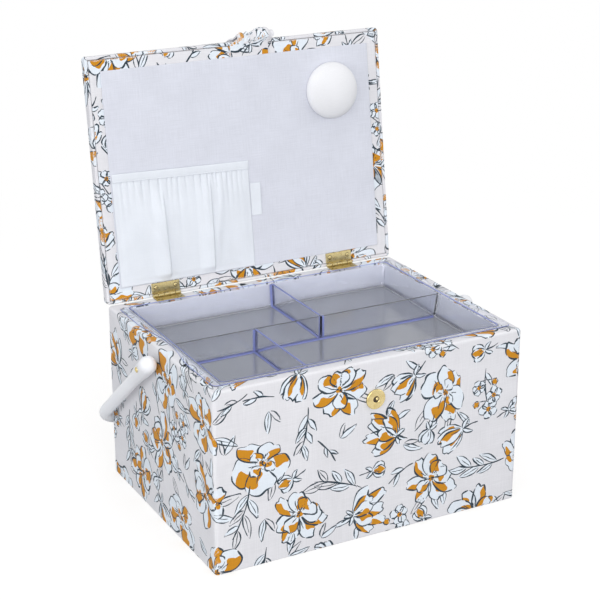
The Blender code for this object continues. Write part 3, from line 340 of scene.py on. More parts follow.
def brass(name, dull, bright, rough):
    """Brass sheet, pressed, tumbled bright and lacquered: a soft yellow mirror, cloudy in patches of 4 mm.

    The press leaves faint draw lines.
    """
    material, tree, shader = finish(name, Metallic=1.0, Coat_Weight=0.25, Coat_Roughness=0.15)
    place = add(tree, "TexCoord").outputs["Object"]
    cloud = add(tree, "TexNoise", place, named={"Scale": 250.0, "Detail": 4.0}).outputs[0]
    drawn = add(tree, "Mapping", place, named={"Scale": (300, 5000, 5000)})
    lines = add(tree, "TexNoise", drawn, named={"Scale": 1.0, "Detail": 2.0}).outputs[0]
    colour = add(tree, "Mix", cloud, named={6: tint(dull), 7: tint(bright)}, data_type="RGBA").outputs[2]
    wired(tree, shader, colour, add(tree, "MapRange", cloud, 0.3, 0.7, rough, rough + 0.07).outputs[0], lines, 0.002)
    return material


def steel():
    """Nickelled magnet: grey, finely pitted."""
    material, tree, shader = finish("nickelled_magnet", Metallic=1.0)
    place = add(tree, "TexCoord").outputs["Object"]
    pits = add(tree, "TexNoise", place, named={"Scale": 2500.0, "Detail": 3.0}).outputs[0]
    colour = add(tree, "Mix", pits, named={6: tint("#4E4C4B"), 7: tint("#77767A")}, data_type="RGBA").outputs[2]
    wired(tree, shader, colour, add(tree, "MapRange", pits, 0.3, 0.7, 0.3, 0.5).outputs[0], pits, 0.02)
    return material


def polypropylene():
    """Polypropylene moulded in a spark-eroded tool: waxy white, as light goes 12 mm into it and comes out again.

    Its grain is of about 0.4 mm, with faint flow marks of 2 cm.
    """
    material, tree, shader = finish("white_polypropylene", IOR=1.49,
                                    Subsurface_Weight=1.0, Subsurface_Scale=0.012, Subsurface_Radius=(1, 1, 1))
    place = add(tree, "TexCoord").outputs["Object"]
    grain = add(tree, "TexNoise", place, named={"Scale": 2400.0, "Detail": 3.0, "Roughness": 0.65}).outputs[0]
    flow = add(tree, "TexNoise", place, named={"Scale": 50.0, "Detail": 2.0}).outputs[0]
    colour = add(tree, "Mix", flow, named={6: tint("#E2E3E7"), 7: tint("#E8E9EC")}, data_type="RGBA").outputs[2]
    wired(tree, shader, colour, add(tree, "MapRange", grain, 0.3, 0.7, 0.38, 0.52).outputs[0], grain, 0.014)
    return material


def polystyrene(name, colour, clear, polish):
    """Clear general-purpose polystyrene, injection moulded and polished, with a violet-blue toner.

    Handling leaves faint smudges of 2 to 3 cm, and the sheet sinks a little between its ribs. The light that
    runs along inside the walls comes out blue at their edges and fillets; that glow is painted there as a less
    clear, bluer finish, and the floor has a fine grain. Light passes straight through to what the tray shades, tinted
    by its colour.
    """
    material, tree, shader = finish(name, IOR=1.59, Transmission_Weight=clear)
    shader.inputs["Base Color"].default_value = tint(colour)
    place = add(tree, "TexCoord").outputs["Object"]
    smudge = add(tree, "TexNoise", place, named={"Scale": 45.0, "Detail": 5.0, "Roughness": 0.6}).outputs[0]
    sunk = add(tree, "TexNoise", place, named={"Scale": 28.0, "Detail": 1.0}).outputs[0]
    wired(tree, shader, None, add(tree, "MapRange", smudge, 0.45, 0.75, polish, polish + 0.14).outputs[0], sunk, 0.2)
    toner = add(tree, "VolumeAbsorption", tint("#A6ACD8"), 8.0)
    let_through = add(tree, "MixShader", add(tree, "LightPath").outputs["Is Shadow Ray"], shader,
                      add(tree, "BsdfTransparent", tint(colour)))
    tree.links.new(let_through.outputs[0], tree.nodes["Material Output"].inputs["Surface"])
    tree.links.new(toner.outputs[0], tree.nodes["Material Output"].inputs["Volume"])
    return material


def greyboard():
    """Recycled grey board: matt, brownish, with short fibres of 3 mm and specks."""
    material, tree, shader = finish("recycled_greyboard", Roughness=0.9, Specular_IOR_Level=0.2)
    place = add(tree, "TexCoord").outputs["Object"]
    fibres = add(tree, "TexNoise", add(tree, "Mapping", place, named={"Scale": (330, 2200, 900)}),
                 named={"Scale": 1.0, "Detail": 5.0}).outputs[0]
    specks = add(tree, "TexVoronoi", place, named={"Scale": 500.0}).outputs[0]
    colour = add(tree, "Mix", fibres, named={6: tint("#8E7B62"), 7: tint("#B9A688")}, data_type="RGBA").outputs[2]
    specks = add(tree, "MapRange", specks, 0.0, 0.16, 0.6, 1.0).outputs[0]
    specks = add(tree, "CombineColor", specks, specks, specks).outputs[0]
    colour = add(tree, "Mix", 1.0, named={6: colour, 7: specks}, data_type="RGBA", blend_type="MULTIPLY").outputs[2]
    wired(tree, shader, colour, None, fibres, 0.05)
    return material


def batting():
    """Bonded polyester batting: a bright loose felt of crimped fibres."""
    material, tree, shader = finish("polyester_batting", Roughness=0.95, Sheen_Weight=0.4, Sheen_Roughness=0.4)
    place = add(tree, "TexCoord").outputs["Object"]
    fibres = add(tree, "TexNoise", place,
                 named={"Scale": 700.0, "Detail": 6.0, "Roughness": 0.7, "Distortion": 1.5}).outputs[0]
    colour = add(tree, "Mix", fibres, named={6: tint("#DDDCD8"), 7: tint("#FAFAF8")}, data_type="RGBA").outputs[2]
    wired(tree, shader, colour, None, fibres, 0.4)
    return material


LINEN = woven("printed_linen_ground", "#DFDEE1", 1.1, 1.2, 0.05, 0.05)
INKS = {
    "white": woven("printed_linen_pale_ink", "#E1E8EF", 1.1, 1.2, 0.035, 0.05),
    "ochre": woven("printed_linen_ochre_ink", "#CA891A", 1.1, 1.2, 0.08, 0.05),
    "line": woven("printed_linen_slate_ink", "#33404A", 1.1, 1.2, 0.10, 0.05),
}
BASE_CLOTH = woven("plain_base_cloth", "#D9D6D9", 1.0, 1.2, 0.05, 0.06)
LINING = woven("lining_linen", "#D5D7E0", 0.8, 1.1, 0.06, 0.06)
COTTON = woven("white_cotton_lawn", "#DFE3E9", 0.7, 0.9, 0.02, 0.03)
CALICO = woven("pincushion_calico", "#E7E7E9", 0.8, 0.9, 0.02, 0.03, uv=False)
BRASS = brass("pressed_brass", "#BCA872", "#D6C896", 0.25)
SNAP_BRASS = brass("lacquered_snap_brass", "#C0A566", "#EBDCA6", 0.2)
# Dark brass that paints the shade down in the snap's pit and round the foot of the rivet heads.
PAINTED_SHADE_BRASS = brass("painted_shade_dark_brass", "#3B3226", "#54483A", 0.5)
STEEL = steel()
PLASTIC = polypropylene()
STYRENE = polystyrene("clear_polystyrene", "#F5F6F9", 1.0, 0.02)
# Bluer and less clear: painted glow of the light that comes out at the tray's edges and fillets.
STYRENE_PAINTED_GLOW = polystyrene("polystyrene_edge_painted_glow", "#919CE0", 0.42, 0.42)
STYRENE_FLOOR = polystyrene("grained_polystyrene_floor", "#D6D9E0", 0.66, 0.12)
BOARD = greyboard()
WADDING = batting()


# ---------------------------------------------------------------- the floral print

def quads_of(grid):
    """A grid's cells as corner points, one row of four for each cell."""
    return np.stack([grid[:-1, :-1], grid[:-1, 1:], grid[1:, 1:], grid[1:, :-1]], 2).reshape(-1, 4, 2)


def heading_of(degrees):
    """Unit vector of a direction."""
    return np.array([math.cos(math.radians(degrees)), math.sin(math.radians(degrees))])


def blade(x, y, angle, length, width, bend=0.0, tip="broad", notch=0.0, phase=0.0):
    """A petal or leaf, in millimetres, as a map from shares along (0 to 1) and across (-1 to 1).

    The middle line is an arc that turns by bend. The half width is t^0.7 (1 - 0.38 t^3) for a broad petal,
    whose end is wavy and notched, and sin(pi t^0.8) for a pointed one.
    """
    start, turn = math.radians(angle), math.radians(bend) if abs(bend) > 0.5 else 0.01

    def at(t, s):
        """The blade's point at shares along and across."""
        t, s = np.broadcast_arrays(np.asarray(t, float), np.asarray(s, float))
        if tip == "broad":
            half = t ** 0.7 * (1 - 0.38 * t ** 3) / 0.70
            dent = notch * np.exp(-((s - 0.3 * math.sin(phase)) / 0.25) ** 2)
            t = t * (1 - 0.24 * np.abs(s) ** 3 - dent + 0.045 * np.sin(5 * s + phase))
        else:
            half = np.sin(np.pi * np.clip(t, 0, 1) ** 0.8) ** 0.9
        half = half * (1 + 0.06 * np.sin(7 * t + phase + s))
        heading = start + turn * t
        swing = [np.sin(heading) - math.sin(start), math.cos(start) - np.cos(heading)]
        middle = np.stack(swing, -1) * (length / turn)
        across = np.stack([-np.sin(heading), np.cos(heading)], -1) * (half * s * width / 2)[..., None]
        return middle + across + [x, y]

    return at


def stroke(path, width, rng, taper=0.4):
    """A brush line along a path: it swells to its width from tapered ends and its pressure wavers."""
    path = np.asarray(path, float)
    q = np.linspace(0, 1, len(path))
    ahead = np.gradient(path, axis=0)
    ahead /= np.linalg.norm(ahead, axis=1, keepdims=True) + 1e-9
    side = np.stack([-ahead[:, 1], ahead[:, 0]], -1)
    press = taper + (1 - taper) * np.sin(np.pi * q) ** 0.4
    press *= 1 + 0.3 * np.sin(2 * np.pi * q * rng.uniform(0.8, 2.2) + rng.uniform(0, 6.3))
    drift = 0.2 * np.sin(2 * np.pi * q * rng.uniform(1.0, 2.2) + rng.uniform(0, 6.3))
    half = ((width + 0.16) / 2 * press)[:, None]
    path = path + side * drift[:, None]
    return quads_of(np.stack([path - side * half, path + side * half], 1))


def add_edge(sheet, level, shape, rng, line, broad, lean):
    """Draws a petal's or leaf's contour as two or three brush lines that don't quite meet, heavier on one side."""
    over = np.linspace(-1, 1, 12)
    if broad:
        up = np.linspace(0.03, 1, 12)
        t, s = np.concatenate([up, np.ones(10), up[::-1]]), np.concatenate([-np.ones(12), over[1:-1], np.ones(12)])
    else:
        up = np.linspace(0, 1, 14)
        t, s = np.concatenate([up, up[::-1][1:]]), np.concatenate([-np.ones(14), np.ones(13)])
    edge = shape(t, s)
    run = np.concatenate([[0], np.cumsum(np.linalg.norm(np.diff(edge, axis=0), axis=1))])
    cuts = [0.0, 0.5 + rng.uniform(-0.08, 0.08), 1.0]
    if broad and rng.random() < 0.5:
        cuts = [0.0, rng.uniform(0.26, 0.4), rng.uniform(0.6, 0.72), 1.0]
    for part, (a, b) in enumerate(zip(cuts, cuts[1:])):
        a, b = a + rng.uniform(0.0, 0.03), b - rng.uniform(0.0, 0.05)
        even = np.linspace(a, b, max(5, int((b - a) * run[-1] / 2.2))) * run[-1]
        path = np.stack([np.interp(even, run, edge[:, k]) for k in (0, 1)], -1)
        heavy = 1.2 if (part == 0) == (lean < 0) else 0.78
        sheet.append(("line", level, stroke(path, line * heavy * rng.uniform(0.85, 1.15), rng)))


def add_blade(sheet, level, shape, rng, ochre=(), line=1.3, veins=1, fill=True, broad=True, shift=(0.4, -0.35)):
    """Draws one petal or leaf: its pale fill, a little off register, its ochre patches, contour and veins.

    An ochre patch is (side, start, end, depth): it lies along the edge of that side, or across the petal for side 0.
    """
    if fill:
        sheet.append(("white", level,
                      quads_of(shape(np.linspace(0, 1, 9)[:, None], np.linspace(-1, 1, 7)[None])) + shift))
    for side, start, end, depth in ochre:
        u = start + (end - start) * (1 - np.cos(np.linspace(0, np.pi, 15)[:, None])) / 2
        r = np.linspace(0, 1, 5)[None]
        hump = np.sin(np.pi * (u - start) / (end - start)).clip(0, 1) ** 0.55
        inner = np.minimum(depth * hump * (1 + 0.26 * np.sin(11 * u + rng.uniform(0, 6.3))), 1.8)
        across = side * (0.97 - inner * r) if side else (2 * r - 1) * np.minimum(inner, 0.96)
        sheet.append(("ochre", level, quads_of(shape(u, across)) + rng.uniform(-0.25, 0.25, 2)))
    add_edge(sheet, level, shape, rng, line, broad, rng.choice([-1, 1]))
    for _ in range(veins):
        foot, reach = rng.uniform(-0.5, 0.5), rng.uniform(0.35, 0.66)
        u = np.linspace(rng.uniform(0.06, 0.2), reach, 7)
        sheet.append(("line", level, stroke(shape(u, foot * (0.4 + u)), line * 0.6, rng)))


def add_dots(sheet, level, ink, places, radius, rng):
    """Small round dabs."""
    turn = np.linspace(0, 2 * np.pi, 9)
    for place in places:
        size = radius * rng.uniform(0.7, 1.25)
        ring = np.stack([np.cos(turn) * size, np.sin(turn) * size * rng.uniform(0.7, 1.0)], -1)
        sheet.append((ink, level, quads_of(np.stack([ring * 0.02, ring], 0) + place)))


def add_heart(sheet, level, size, rng):
    """A flower's middle: an ochre heart with dark stamens over it and a scatter of dots about it."""
    turn = np.linspace(0, 2 * np.pi, 13)
    waves = (1 + 0.2 * np.sin(3 * turn + rng.uniform(0, 6)))[:, None]
    ring = np.stack([np.cos(turn), np.sin(turn)], -1) * size * waves
    ring[-1] = ring[0]
    sheet.append(("ochre", level, quads_of(np.stack([ring * 0.02, ring * 0.6, ring], 0))))
    add_dots(sheet, level, "line", rng.normal(0, size * 0.4, (6, 2)), size * 0.2, rng)
    for angle in rng.uniform(0, 360, 5):
        sheet.append(("line", level,
                      stroke(heading_of(angle) * np.linspace(size * 0.2, size * 1.2, 5)[:, None], 0.8, rng)))
    away = rng.uniform(0, 360)
    ring = [heading_of(away + rng.normal(0, 55)) * size * rng.uniform(1.6, 2.5) for _ in range(12)]
    add_dots(sheet, level, "line", ring, 0.5, rng)


def edged(rng, share, sides=(-1, 1)):
    """The ochre of one petal: along one edge or both, across its foot, or none."""
    pick = rng.random() * 0.9
    if pick > share:
        return ()
    side = rng.choice(sides)
    if pick < share * 0.62:
        return ((side, rng.uniform(0.08, 0.30), 1.0, rng.uniform(0.7, 1.2)),)
    if pick < share * 0.85:
        return ((side, 0.05, rng.uniform(0.75, 0.98), rng.uniform(1.0, 1.5)),)
    return ((0, 0.08, rng.uniform(0.5, 0.7), 0.85),)


def leaf(sheet, x, y, angle, length, width, bend, rng, level=0, pale=True):
    """A leaf with a pale fill that misses its contour a little, and a midrib."""
    shape = blade(x, y, angle, length, width, bend, tip="point", phase=rng.uniform(0, 6))
    add_blade(sheet, level, shape, rng, line=0.9, veins=0, fill=pale, broad=False, shift=rng.uniform(-0.9, 0.9, 2))
    if width > 5.5:
        sheet.append(("line", level, stroke(shape(np.linspace(0.1, rng.uniform(0.6, 0.85), 8), 0.05), 0.6, rng)))


def leafed(sheet, rng, reach):
    """Adds a spray of one to three leaves that shows from behind a flower."""
    back = []
    heading = rng.uniform(0, 360)
    for _ in range(rng.integers(1, 4)):
        heading += rng.uniform(26, 44)
        foot = heading_of(heading) * reach * 0.62
        leaf(back, *foot, heading + rng.uniform(-14, 14), reach * rng.uniform(0.62, 0.9),
             reach * rng.uniform(0.18, 0.26), rng.uniform(-40, 40), rng, -0.6, rng.random() < 0.7)
    return back + sheet


def seen_from_below(sheet, turn, press, rise):
    """The drawing foreshortened across one direction: its far half is kept taller than its near half."""
    ahead = heading_of(turn)
    side = np.array([-ahead[1], ahead[0]])
    made = []
    for ink, level, cells in sheet:
        up, over = cells @ ahead, cells @ side
        up = up * press * (1 + rise * np.tanh(up / 14))
        made.append((ink, level, up[..., None] * ahead + over[..., None] * side))
    return made


def open_bloom(rng, turn, reach, petals=6):
    """A wide flower seen at a slant: uneven outer petals that leave gaps, and small cupped ones round the heart."""
    sheet = []
    spin = rng.uniform(0, 360)
    for k in sorted(range(petals), key=lambda k: k % 2):
        angle = spin + 360 * k / petals + rng.uniform(-12, 12)
        width = reach * rng.uniform(0.62, 0.95) * (6 / petals) ** 0.7
        shape = blade(*heading_of(angle) * reach * 0.1, angle + rng.uniform(-12, 12), reach * rng.uniform(0.74, 0.98),
                      width, rng.uniform(-36, 36), notch=rng.uniform(0, 0.12), phase=rng.uniform(0, 6))
        add_blade(sheet, k % 2, shape, rng, edged(rng, 0.86), veins=rng.integers(1, 3))
    for k in range(3):
        angle = spin + 120 * k + rng.uniform(-20, 20)
        side = rng.choice([-1, 1])
        shape = blade(*heading_of(angle + 60) * reach * 0.12, angle, reach * rng.uniform(0.36, 0.5),
                      reach * rng.uniform(0.34, 0.5), side * rng.uniform(20, 60), phase=rng.uniform(0, 6))
        add_blade(sheet, 2 + k * 0.3, shape, rng, edged(rng, 0.8), veins=1, line=1.15)
    add_heart(sheet, 3, reach * 0.1, rng)
    return leafed(seen_from_below(sheet, turn, rng.uniform(0.74, 0.86), 0.22), rng, reach)


def cupped_bloom(rng, turn, reach):
    """A cup seen from the side: tall petals behind, bowed ones to the sides and broad low ones across the front."""
    sheet = []
    table = [(0, 16, 0.94, 0.52, 16, -1), (0, -26, 0.90, 0.50, -18, 1), (0, 52, 0.92, 0.46, 30, 1),
             (1, -70, 0.98, 0.46, -48, 1), (1, 92, 1.02, 0.44, 52, -1), (1.4, -4, 0.6, 0.44, -8, 1),
             (2, 128, 0.74, 0.56, 40, 1), (2.3, -124, 0.78, 0.60, -38, -1), (2.6, 176, 0.52, 0.72, 8, 1)]
    for level, lean, length, width, bend, side in table:
        lean += rng.uniform(-9, 9)
        shape = blade(*heading_of(turn + lean) * reach * 0.07, turn + lean, reach * length * rng.uniform(0.9, 1.06),
                      reach * width * rng.uniform(0.95, 1.3),
                      bend + rng.uniform(-12, 12), notch=rng.uniform(0, 0.08), phase=rng.uniform(0, 6))
        add_blade(sheet, level, shape, rng, edged(rng, 0.86, (side,)), veins=1)
    add_heart(sheet, 3, reach * 0.11, rng)
    return leafed(sheet, rng, reach)


def fanned_bloom(rng, turn, reach):
    """A flower from the side, half open: petals fanned upwards from one foot, one of them hanging, over its calyx."""
    sheet = []
    foot = -heading_of(turn) * reach * 0.55
    table = [(0, -62, 1.16, 0.46), (0, 58, 1.2, 0.44), (0.5, -30, 1.42, 0.50), (0.5, 24, 1.46, 0.52),
             (1, -8, 1.3, 0.56), (1.5, 38, 0.98, 0.46), (1.8, -46, 0.9, 0.48), (2.2, 4, 0.8, 0.5)]
    for level, lean, length, width in table:
        lean += rng.uniform(-7, 7)
        shape = blade(*foot, turn + lean, reach * length * rng.uniform(0.92, 1.05),
                      reach * width * rng.uniform(0.9, 1.15), -lean * rng.uniform(0.1, 0.7),
                      notch=rng.uniform(0, 0.1), phase=rng.uniform(0, 6))
        add_blade(sheet, level, shape, rng, edged(rng, 0.86), veins=1)
    for lean in (112, -120, 160):
        shape = blade(*foot, turn + lean + rng.uniform(-10, 10), reach * 0.42, reach * 0.15, lean * 0.2, tip="point")
        add_blade(sheet, 2.5, shape, rng, veins=0, broad=False, line=1.0)
    stalk = foot - heading_of(turn + rng.uniform(-15, 15)) * np.linspace(0, reach * 0.5, 8)[:, None]
    sheet.append(("line", 2.5, stroke(stalk, 1.4, rng)))
    return leafed(sheet, rng, reach)


def tulip(rng, turn, reach):
    """A closed flower from the side: narrow petals from one foot, with sepals and a bent stalk below."""
    sheet = []
    foot = -heading_of(turn) * reach * 0.35
    table = [(0, -32, 0.92, 0.36, 1), (0, 31, 0.95, 0.36, -1), (1, -14, 1.0, 0.40, 1), (1, 18, 1.02, 0.38, 1),
             (2, 2, 0.92, 0.44, -1)]
    for level, lean, length, width, side in table:
        shape = blade(*foot, turn + lean * 1.35, reach * length, reach * width, -lean * 0.9 + rng.uniform(-8, 8),
                      notch=0.04, phase=rng.uniform(0, 6))
        add_blade(sheet, level, shape, rng, edged(rng, 0.85, (side,)), veins=1)
    for lean in (118, -128):
        add_blade(sheet, 2, blade(*foot, turn + lean, reach * 0.46, reach * 0.14, lean * 0.35, tip="point"), rng,
                  veins=0, broad=False, line=1.0)
    along = np.linspace(0, 1, 9)[:, None]
    bow = rng.choice([-1, 1]) * 3.0 * along ** 2
    stalk = foot - heading_of(turn) * along * reach * 0.6 + heading_of(turn + 90) * bow
    sheet.append(("line", 2, stroke(stalk, 1.35, rng)))
    leaf(sheet, *(foot - heading_of(turn) * reach * 0.3), turn + rng.choice([-1, 1]) * rng.uniform(50, 80),
         reach * 0.75, reach * 0.2, rng.uniform(-30, 30), rng, -0.6)
    return sheet


def blossom(sheet, x, y, size, rng, level=1, petals=5):
    """A small five-petalled blossom."""
    turn = rng.uniform(0, 360)
    for k in range(petals):
        angle = turn + 360 * k / petals + rng.uniform(-10, 10)
        shape = blade(x, y, angle, size * rng.uniform(0.85, 1.12), size * 0.9, rng.uniform(-14, 14),
                      notch=rng.uniform(0.0, 0.16), phase=rng.uniform(0, 6))
        add_blade(sheet, level + (k % 2) * 0.5, shape, rng, line=0.95, veins=0, shift=(0.3, -0.25))
    turn = np.linspace(0, 2 * np.pi, 9)
    ring = np.stack([np.cos(turn), np.sin(turn)], -1) * size * 0.26
    sheet.append(("ochre", level + 1, quads_of(np.stack([ring * 0.02, ring], 0)) + [x, y]))
    add_dots(sheet, level + 1, "line", rng.normal(0, size * 0.12, (4, 2)) + [x, y], size * 0.08, rng)


def spray(rng, turn, reach, pairs):
    """A bowed stem with long leaves to either side, heavy where the brush was pressed."""
    sheet = []
    bend = rng.choice([-1, 1]) * rng.uniform(16, 40)
    stem = blade(0, 0, turn, reach, 1, bend, tip="point")
    offset = -stem([0.5], [0.0])[0]
    sheet.append(("line", 1, stroke(stem(np.linspace(0, 0.97, 16), 0) + offset, 1.3, rng)))
    for k in range(pairs):
        for side in (-1, 1):
            share = (k + 0.55 + 0.3 * (side > 0)) / (pairs + 0.6)
            length = reach * rng.uniform(0.36, 0.56) * (1 - 0.25 * share)
            leaf(sheet, *(stem([share], [0.0])[0] + offset), turn + bend * share + side * rng.uniform(26, 46), length,
                 length * rng.uniform(0.26, 0.36), -side * rng.uniform(6, 30), rng, 0, rng.random() < 0.72)
    return sheet


def twig(rng, turn, reach=48.0):
    """A thin stem with three blossoms, two ochre buds and a pair of leaves."""
    sheet = []
    stem = blade(0, 0, turn, reach, 1, rng.uniform(-36, 36), tip="point")
    middle = stem([0.5], [0.0])[0]

    def spot(share):
        """The stem's point at a share of its length."""
        return stem([share], [0.0])[0] - middle

    sheet.append(("line", 0, stroke(stem(np.linspace(0, 0.95, 16), 0) - middle, 1.1, rng)))
    across = heading_of(turn + 90)
    for share, side in ((0.1, 1), (0.26, -1)):
        leaf(sheet, *spot(share), turn + side * 44, 16, 4.8, -side * 22, rng)
    flip = rng.choice([-1, 1])
    blossom(sheet, *spot(0.94), 10.2, rng)
    blossom(sheet, *(spot(0.62) + across * 9 * flip), 9.2, rng, 2)
    blossom(sheet, *(spot(0.42) - across * 7 * flip), 8.4, rng, 2)
    for share, away in ((0.74, -8.5 * flip), (0.26, 8.0 * flip)):
        tip = spot(share) + across * away
        sheet.append(("line", 0,
                      stroke(spot(share) + (tip - spot(share)) * np.linspace(0, 1, 6)[:, None], 0.85, rng)))
        shape = blade(*tip, turn + math.copysign(50, away), 7.5, 7.0, 10, phase=rng.uniform(0, 6))
        add_blade(sheet, 1, shape, rng, ((0, 0.05, 0.97, 0.96),), line=0.95, veins=0)
    return sheet


def bud(rng, turn, reach):
    """A half-open bud on a bent stalk with two leaflets."""
    sheet = []
    for level, lean, side in ((0, -24, 1), (0, 26, -1), (1, 0, 0)):
        shape = blade(0, 0, turn + lean * 1.6, reach, reach * 0.66, -lean * 1.8, notch=0.05, phase=rng.uniform(0, 6))
        ochre = ((side, 0.1, 0.95, 0.85),) if side or rng.random() < 0.5 else ()
        add_blade(sheet, level, shape, rng, ochre, line=1.1, veins=1)
    for lean in (130, -120):
        leaf(sheet, 0, 0, turn + lean, reach * 0.7, reach * 0.24, lean * 0.3, rng, 1)
    along = np.linspace(0, 1, 8)[:, None]
    stalk = -heading_of(turn) * along * reach - heading_of(turn + 90) * 2 * along ** 2
    sheet.append(("line", 1, stroke(stalk, 1.05, rng)))
    return sheet


def two_leaves(rng, turn, reach):
    """A pair of loose leaves."""
    sheet = []
    leaf(sheet, *(-heading_of(turn) * reach / 2), turn, reach, reach * 0.27, rng.uniform(10, 36), rng)
    leaf(sheet, *(-heading_of(turn) * reach / 2), turn + rng.uniform(44, 80), reach * 0.8, reach * 0.2,
         rng.uniform(-36, -10), rng, 0, False)
    return sheet


# Each kind of motif: its makers with their sizes, and the room it keeps from its own kind and from the others, in mm
KINDS = (
    (((open_bloom, 31, 6), (fanned_bloom, 26), (cupped_bloom, 31), (open_bloom, 32, 5), (cupped_bloom, 29)), 35, 28),
    (((tulip, 29), (spray, 54, 3), (twig, 46), (tulip, 27), (spray, 46, 3), (twig, 42)), 24.5, 17),
    (((bud, 15), (two_leaves, 23), (bud, 14), (spray, 32, 1), (two_leaves, 20)), 12.2, 9.4),
)
MARGIN, TRIES, NO_SPOT_YET = 12, 300, 500


def strewn(low, high, seed):
    """Motifs strewn over a rectangle of cloth, in millimetres.

    Large ones go first. Each goes to the tightest of many random places that still leave its room, until none does.
    """
    rng = np.random.default_rng(seed)
    low, high = np.array(low, float) - MARGIN, np.array(high, float) + MARGIN
    spots, rooms, shapes = np.empty((0, 2)), np.empty(0), []
    for makers, own, room in KINDS:
        first, count = len(spots), rng.integers(len(makers))
        while True:
            tries = rng.uniform(low, high, (TRIES, 2))
            away = np.linalg.norm(tries[:, None] - spots, axis=2)
            clear = np.concatenate([away[:, :first] - rooms[:first] - room, away[:, first:] - 2 * own], 1)
            clear = clear.min(1, initial=NO_SPOT_YET)
            if clear.max() < 0:
                break
            spot = tries[np.where(clear >= 0, clear, np.inf).argmin()]
            spots, rooms = np.append(spots, [spot], 0), np.append(rooms, room)
            maker, *sizes = makers[count % len(makers)]
            count += 1
            shapes += [(ink, level, cells + spot) for ink, level, cells in maker(rng, rng.uniform(0, 360), *sizes)]
    return shapes


INK_ORDER = {"white": 0, "ochre": 1, "line": 2}
FILM, FILM_PER_LEVEL, FILM_PER_INK = 0.044, 0.020, 0.006
CREASE_REACH, CELL_PARTS, LEAST_CELL, INK_WELD = 0.0030, 4, 2e-10, 4e-7


def inked(name, shapes, surface, low, high, creases, body, blend=None, covered=None):
    """Lays drawn shapes on a piece of cloth as a thin film of ink, one piece for each ink.

    surface maps cloth coordinates, in metres, to points of the piece. A cell goes a few hundredths of a
    millimetre above it, in the order it was printed. A cell near a crease is split finely enough to follow it.
    Cells outside low and high, or inside the covered rectangle, are left out.
    """
    for ink, order in INK_ORDER.items():
        cells = [cells for kind, _, cells in shapes if kind == ink]
        lift = np.concatenate([np.full(len(cells), (FILM + FILM_PER_LEVEL * level + FILM_PER_INK * order) * MM)
                               for kind, level, cells in shapes if kind == ink])
        cells = np.concatenate(cells) * MM
        shown = (cells.max(1) > low).all(1) & (cells.min(1) < high).all(1)
        if covered:
            shown &= ~((cells.min(1) > covered[0]).all(1) & (cells.max(1) < covered[1]).all(1))
        cells, lift = cells[shown], lift[shown]
        near = creases(cells.mean(1)) < np.linalg.norm(cells.max(1) - cells.min(1), axis=1) / 2 + CREASE_REACH
        step = np.arange(CELL_PARTS) / CELL_PARTS
        a, b = (g.reshape(1, -1, 1, 1) for g in np.meshgrid(step, step, indexing="ij"))
        a = a + np.array([0, 0, 1, 1])[None, None, :, None] / CELL_PARTS
        b = b + np.array([0, 1, 1, 0])[None, None, :, None] / CELL_PARTS
        first, second, third, fourth = (cells[near][:, k][:, None, None] for k in range(4))
        fine = first * (1 - a) * (1 - b) + second * (1 - a) * b + third * a * b + fourth * a * (1 - b)
        fine = fine.reshape(-1, 4, 2)
        lift = np.concatenate([lift[~near], np.repeat(lift[near], CELL_PARTS ** 2)])
        cells = np.clip(np.concatenate([cells[~near], fine]), low, high)
        edge_a, edge_b = cells[:, 2] - cells[:, 0], cells[:, 3] - cells[:, 1]
        size = edge_a[:, 0] * edge_b[:, 1] - edge_a[:, 1] * edge_b[:, 0]
        cells[size < 0] = cells[size < 0][:, ::-1]
        cells, lift = cells[np.abs(size) > LEAST_CELL], lift[np.abs(size) > LEAST_CELL]
        flat = cells.reshape(-1, 2)
        small = 2e-5
        normal = np.cross(surface(flat + [small, 0]) - surface(flat - [small, 0]),
                          surface(flat + [0, small]) - surface(flat - [0, small]))
        normal /= np.linalg.norm(normal, axis=1, keepdims=True) + 1e-20
        points = surface(flat) + normal * np.repeat(lift, 4)[:, None]
        quads = np.arange(len(points)).reshape(-1, 4)
        mesh = meshed(f"{name}_{ink}", points, quads, np.zeros(len(quads)), flat, [INKS[ink]])
        work = bmesh.new()
        work.from_mesh(mesh)
        bmesh.ops.remove_doubles(work, verts=work.verts, dist=INK_WELD)
        work.to_mesh(mesh)
        work.free()
        mesh.shade_smooth()
        thing = in_scene(f"{name}_{ink}", mesh)
        if blend:
            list(blend[:2])
            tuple(blend[2])
            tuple(blend[3])
            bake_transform(thing)
        else:
            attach(thing, body)


# ---------------------------------------------------------------- box

